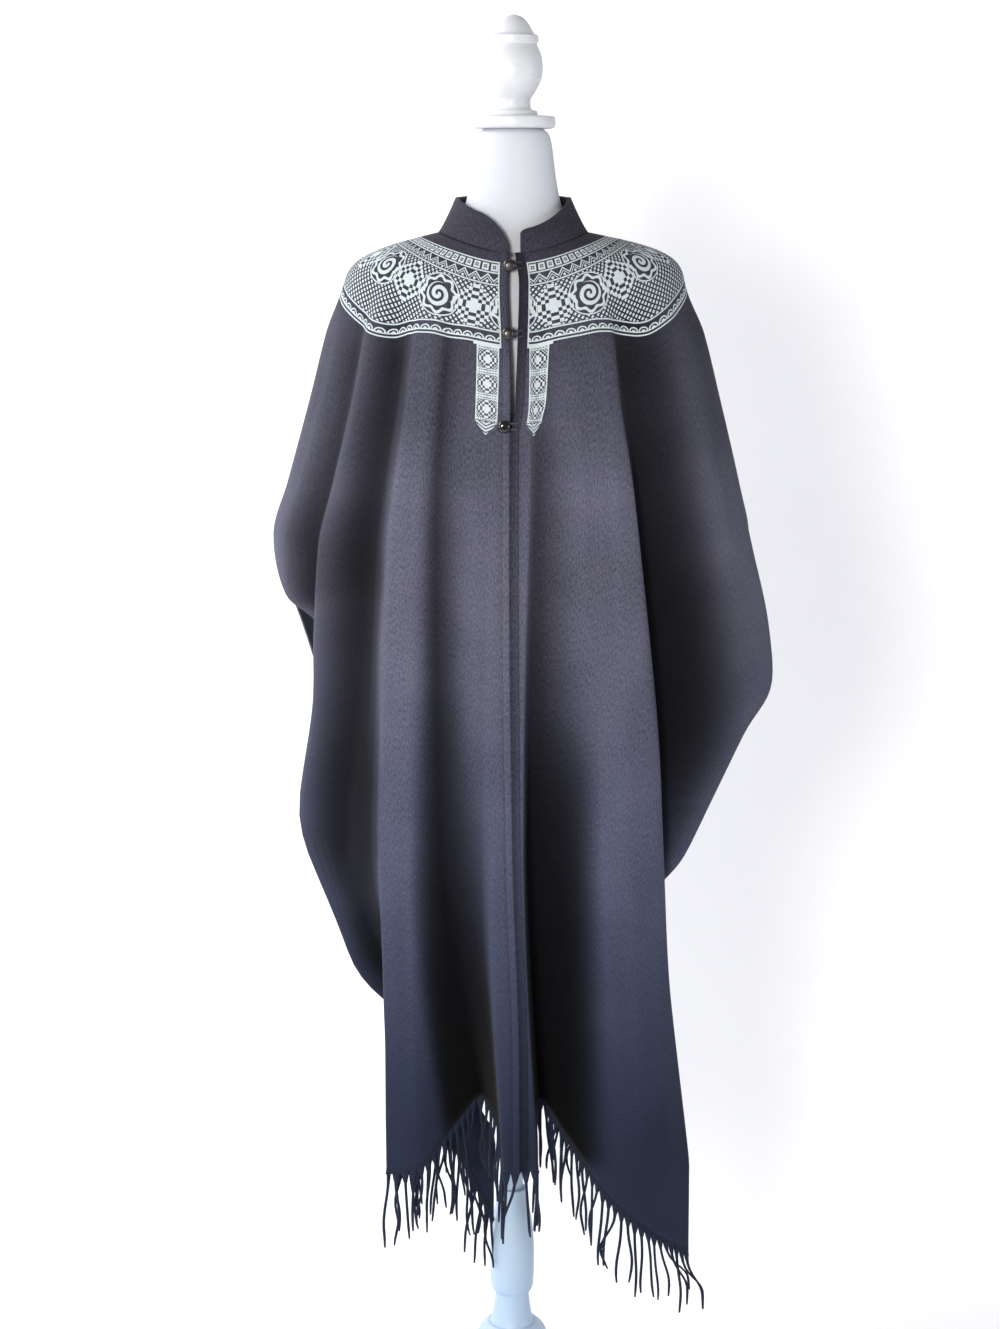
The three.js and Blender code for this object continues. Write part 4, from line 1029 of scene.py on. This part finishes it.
# One row for each knob: its number, where it lies across, its height, and its brown, its black and its roughness.
knobRows = [("1", -5.5, 1570, ("#1d1312", "#0c0808", 0.33)), ("2", -7, 1487, ("#1e1413", "#0b0808", 0.32)),
            ("3", -12, 1373, ("#101013", "#070709", 0.1))]


def bandFace(z, halfHeight):
    radius = drapeRadius(np.array(0.0), np.array(z - halfHeight, float))
    return float(radius) + knob["bandHeight"]


def stemAcross(x, z):
    # The stem stands on the right front band, clear of its free edge, and under the knob's middle where it can.
    return min(x, float(frontEdge("right", np.array(z))) - knob["stemRadius"] - knob["fromEdge"])


def makeKnob(number, x, z, look):
    # A domed head on a stem; the head is turned about the way out of the cloth.
    material = makeHorn("hornKnob" + number, *look)
    face = -(bandFace(z, knob["stemRadius"]) + knob["standOff"])
    stemX = stemAcross(x, z)
    r, d = knob["radius"], knob["depth"]
    shape = [(0, 0), (r * 0.55, 0), (r * 0.8, 0.6), (r * 0.96, d * 0.22), (r, d * 0.42), (r * 0.93, d * 0.66),
             (r * 0.72, d * 0.87), (r * 0.4, d * 0.98), (0, d)]
    head, segments, rows = lathe(shape, knob["segments"], 4)
    stemEnd = knob["stemLength"] + 1  # it ends 1 mm inside the head
    stem, _, stemRows = lathe([(0, 0), (knob["stemRadius"], 0), (knob["stemRadius"], stemEnd), (0, stemEnd)],
                              knob["segments"], 2)
    place = lambda points, px, py: np.stack([points[..., 0] + px, py - points[..., 2], points[..., 1] + z], -1)
    points = np.concatenate([place(head, x, face - knob["stemLength"]).reshape(-1, 3),
                             place(stem, stemX, face).reshape(-1, 3)])
    faces = gridFaces(segments, rows, -1, closed=True)
    start = segments * rows
    faces += (np.array(gridFaces(segments, stemRows, -1, closed=True)) + start).tolist()
    piece = makePiece("frontKnob" + number, points, faces, material)
    return finish(piece, "knob", "button_" + number)


def makeLoop(number, x, z):
    # A round cord carried along a path: out from the left band, round the stem, and back.
    stemX = stemAcross(x, z)
    reachX = float(frontEdge("left", np.array(z))) + band["width"] * loop["bandShare"]
    turnRadius = knob["stemRadius"] + loop["radius"] + loop["slack"]
    level = -(bandFace(z, turnRadius + loop["radius"]) + knob["standOff"] + loop["radius"])
    a = np.linspace(np.pi / 2, 3 * np.pi / 2, 17)
    arc = np.stack([stemX + turnRadius * np.cos(a), z + turnRadius * np.sin(a)], -1)
    legs = np.linspace(reachX, stemX, 8)[:-1]
    path = np.concatenate([np.stack([legs, 0 * legs + z + turnRadius], -1), arc,
                           np.stack([legs[::-1], 0 * legs + z - turnRadius], -1)])
    along = np.gradient(path, axis=0)
    along /= np.linalg.norm(along, axis=1, keepdims=True)
    around = 2 * np.pi * np.arange(loop["sides"]) / loop["sides"]
    side = np.stack([-along[:, 1], along[:, 0]], -1)
    points = np.zeros((len(path), loop["sides"], 3))
    points[..., 0] = path[:, None, 0] + loop["radius"] * np.cos(around) * side[:, None, 0]
    points[..., 2] = path[:, None, 1] + loop["radius"] * np.cos(around) * side[:, None, 1]
    points[..., 1] = level + loop["radius"] * np.sin(around)
    s, r = np.meshgrid(np.arange(loop["sides"]), np.arange(len(path) - 1), indexing="ij")
    here, beside = r * loop["sides"] + s, r * loop["sides"] + (s + 1) % loop["sides"]
    quads = np.stack([beside, beside + loop["sides"], here + loop["sides"], here], axis=-1)
    faces = quads.reshape(-1, 4).tolist()
    last = (len(path) - 1) * loop["sides"]
    faces += [list(range(loop["sides"])), list(range(last, last + loop["sides"]))[::-1]]
    lengthAlong = np.arange(len(path)) * 1.6
    maps = np.stack([around * 1.1 + 0 * lengthAlong[:, None], lengthAlong[:, None] + 0 * around], -1)
    piece = makePiece("cordLoop" + number, points.reshape(-1, 3), faces, wool,
                      {"weave": maps.reshape(-1, 2) * metre})
    return finish(piece, "wool", "loop_" + number)


for row in knobRows:
    makeKnob(*row)
for row in knobRows:
    makeLoop(*row[:3])
print("knobs and loops made")

# Studio: a pale floor that curves up into the backdrop, and large soft lights.
studio = {"floor": "#f7f7f8", "shade": "#f1f1f3", "halfWidth": 3.6, "front": -3.8, "bend": 0.7, "behind": 0.5,
          "top": 4.2, "sky": "#f7f7f7", "skyStrength": 0.3}
# Name, place, what it points at, diameter in m, watts and colour.
lights = [
    ("keyLight", (-0.85, -3.3, 1.65), (0, 0, 1.1), 0.8, 90, "#fffaf2"),
    ("leftFill", (-3.0, -1.4, 1.5), (0, 0, 1.1), 1.5, 36, "#eef1fb"),
    ("rightFill", (3.0, -1.6, 1.5), (0, 0, 1.1), 1.5, 34, "#eef1fb"),
    ("backWash", (-2.1, 0.2, 2.8), (-1.3, 1.2, 0.9), 1.6, 70, "#ffffff"),
]


def makeStudio():
    # The floor runs back, bends up through a quarter circle and goes on as the wall.
    material, tree, shader = newMaterial("paleBackdrop")
    place = addNode(tree, "ShaderNodeTexCoord")
    grain = addNode(tree, "ShaderNodeTexNoise", {"Vector": place.outputs["Object"], "Scale": 3.0, "Detail": 1.0})
    tone = addNode(tree, "ShaderNodeMix", {
        "Factor": grain, 6: linearColour(studio["shade"]), 7: linearColour(studio["floor"])}, data_type="RGBA")
    tree.links.new(tone.outputs[2], shader.inputs["Base Color"])
    shader.inputs["Roughness"].default_value = 0.9
    # The sweep has one side: from behind, the part is seen through it.
    side = addNode(tree, "ShaderNodeNewGeometry")
    clear = addNode(tree, "ShaderNodeBsdfTransparent")
    seen = addNode(tree, "ShaderNodeMixShader", {0: side.outputs["Backfacing"], 1: shader, 2: clear})
    tree.links.new(seen.outputs[0], tree.nodes["Material Output"].inputs["Surface"])
    a = np.linspace(0, np.pi / 2, 17)
    y = np.concatenate([[studio["front"]], studio["behind"] + studio["bend"] * np.sin(a),
                        [studio["behind"] + studio["bend"]]])
    z = np.concatenate([[0], studio["bend"] * (1 - np.cos(a)), [studio["top"]]])
    x = np.array([-studio["halfWidth"], studio["halfWidth"]])
    points = np.stack([x[:, None] + 0 * y, y + 0 * x[:, None], z + 0 * x[:, None]], -1).reshape(-1, 3)
    backdrop = makePiece("studioBackdrop", points / metre, gridFaces(2, len(y), -1), material)


def addLight(name, place, target, size, power, colour):
    data = bpy.data.lights.new(name, "AREA")
    data.shape, data.size, data.energy = "DISK", size, power
    data.color = linearColour(colour)[:3]
    light = bpy.data.objects.new(name, data)
    light.location = place
    away = np.array(place) - np.array(target)
    flat = math.hypot(away[0], away[1])
    light.rotation_euler = (math.atan2(flat, away[2]), 0, math.atan2(away[0], -away[1]))
    bpy.context.scene.collection.objects.link(light)


makeStudio()
for row in lights:
    addLight(*row)
world = bpy.data.worlds.new("studioWorld")
world.use_nodes = True
sky = world.node_tree.nodes["Background"]
sky.inputs["Color"].default_value = linearColour(studio["sky"])
sky.inputs["Strength"].default_value = studio["skyStrength"]
bpy.context.scene.world = world
bpy.context.scene.view_settings.view_transform = "Standard"
print("studio set")
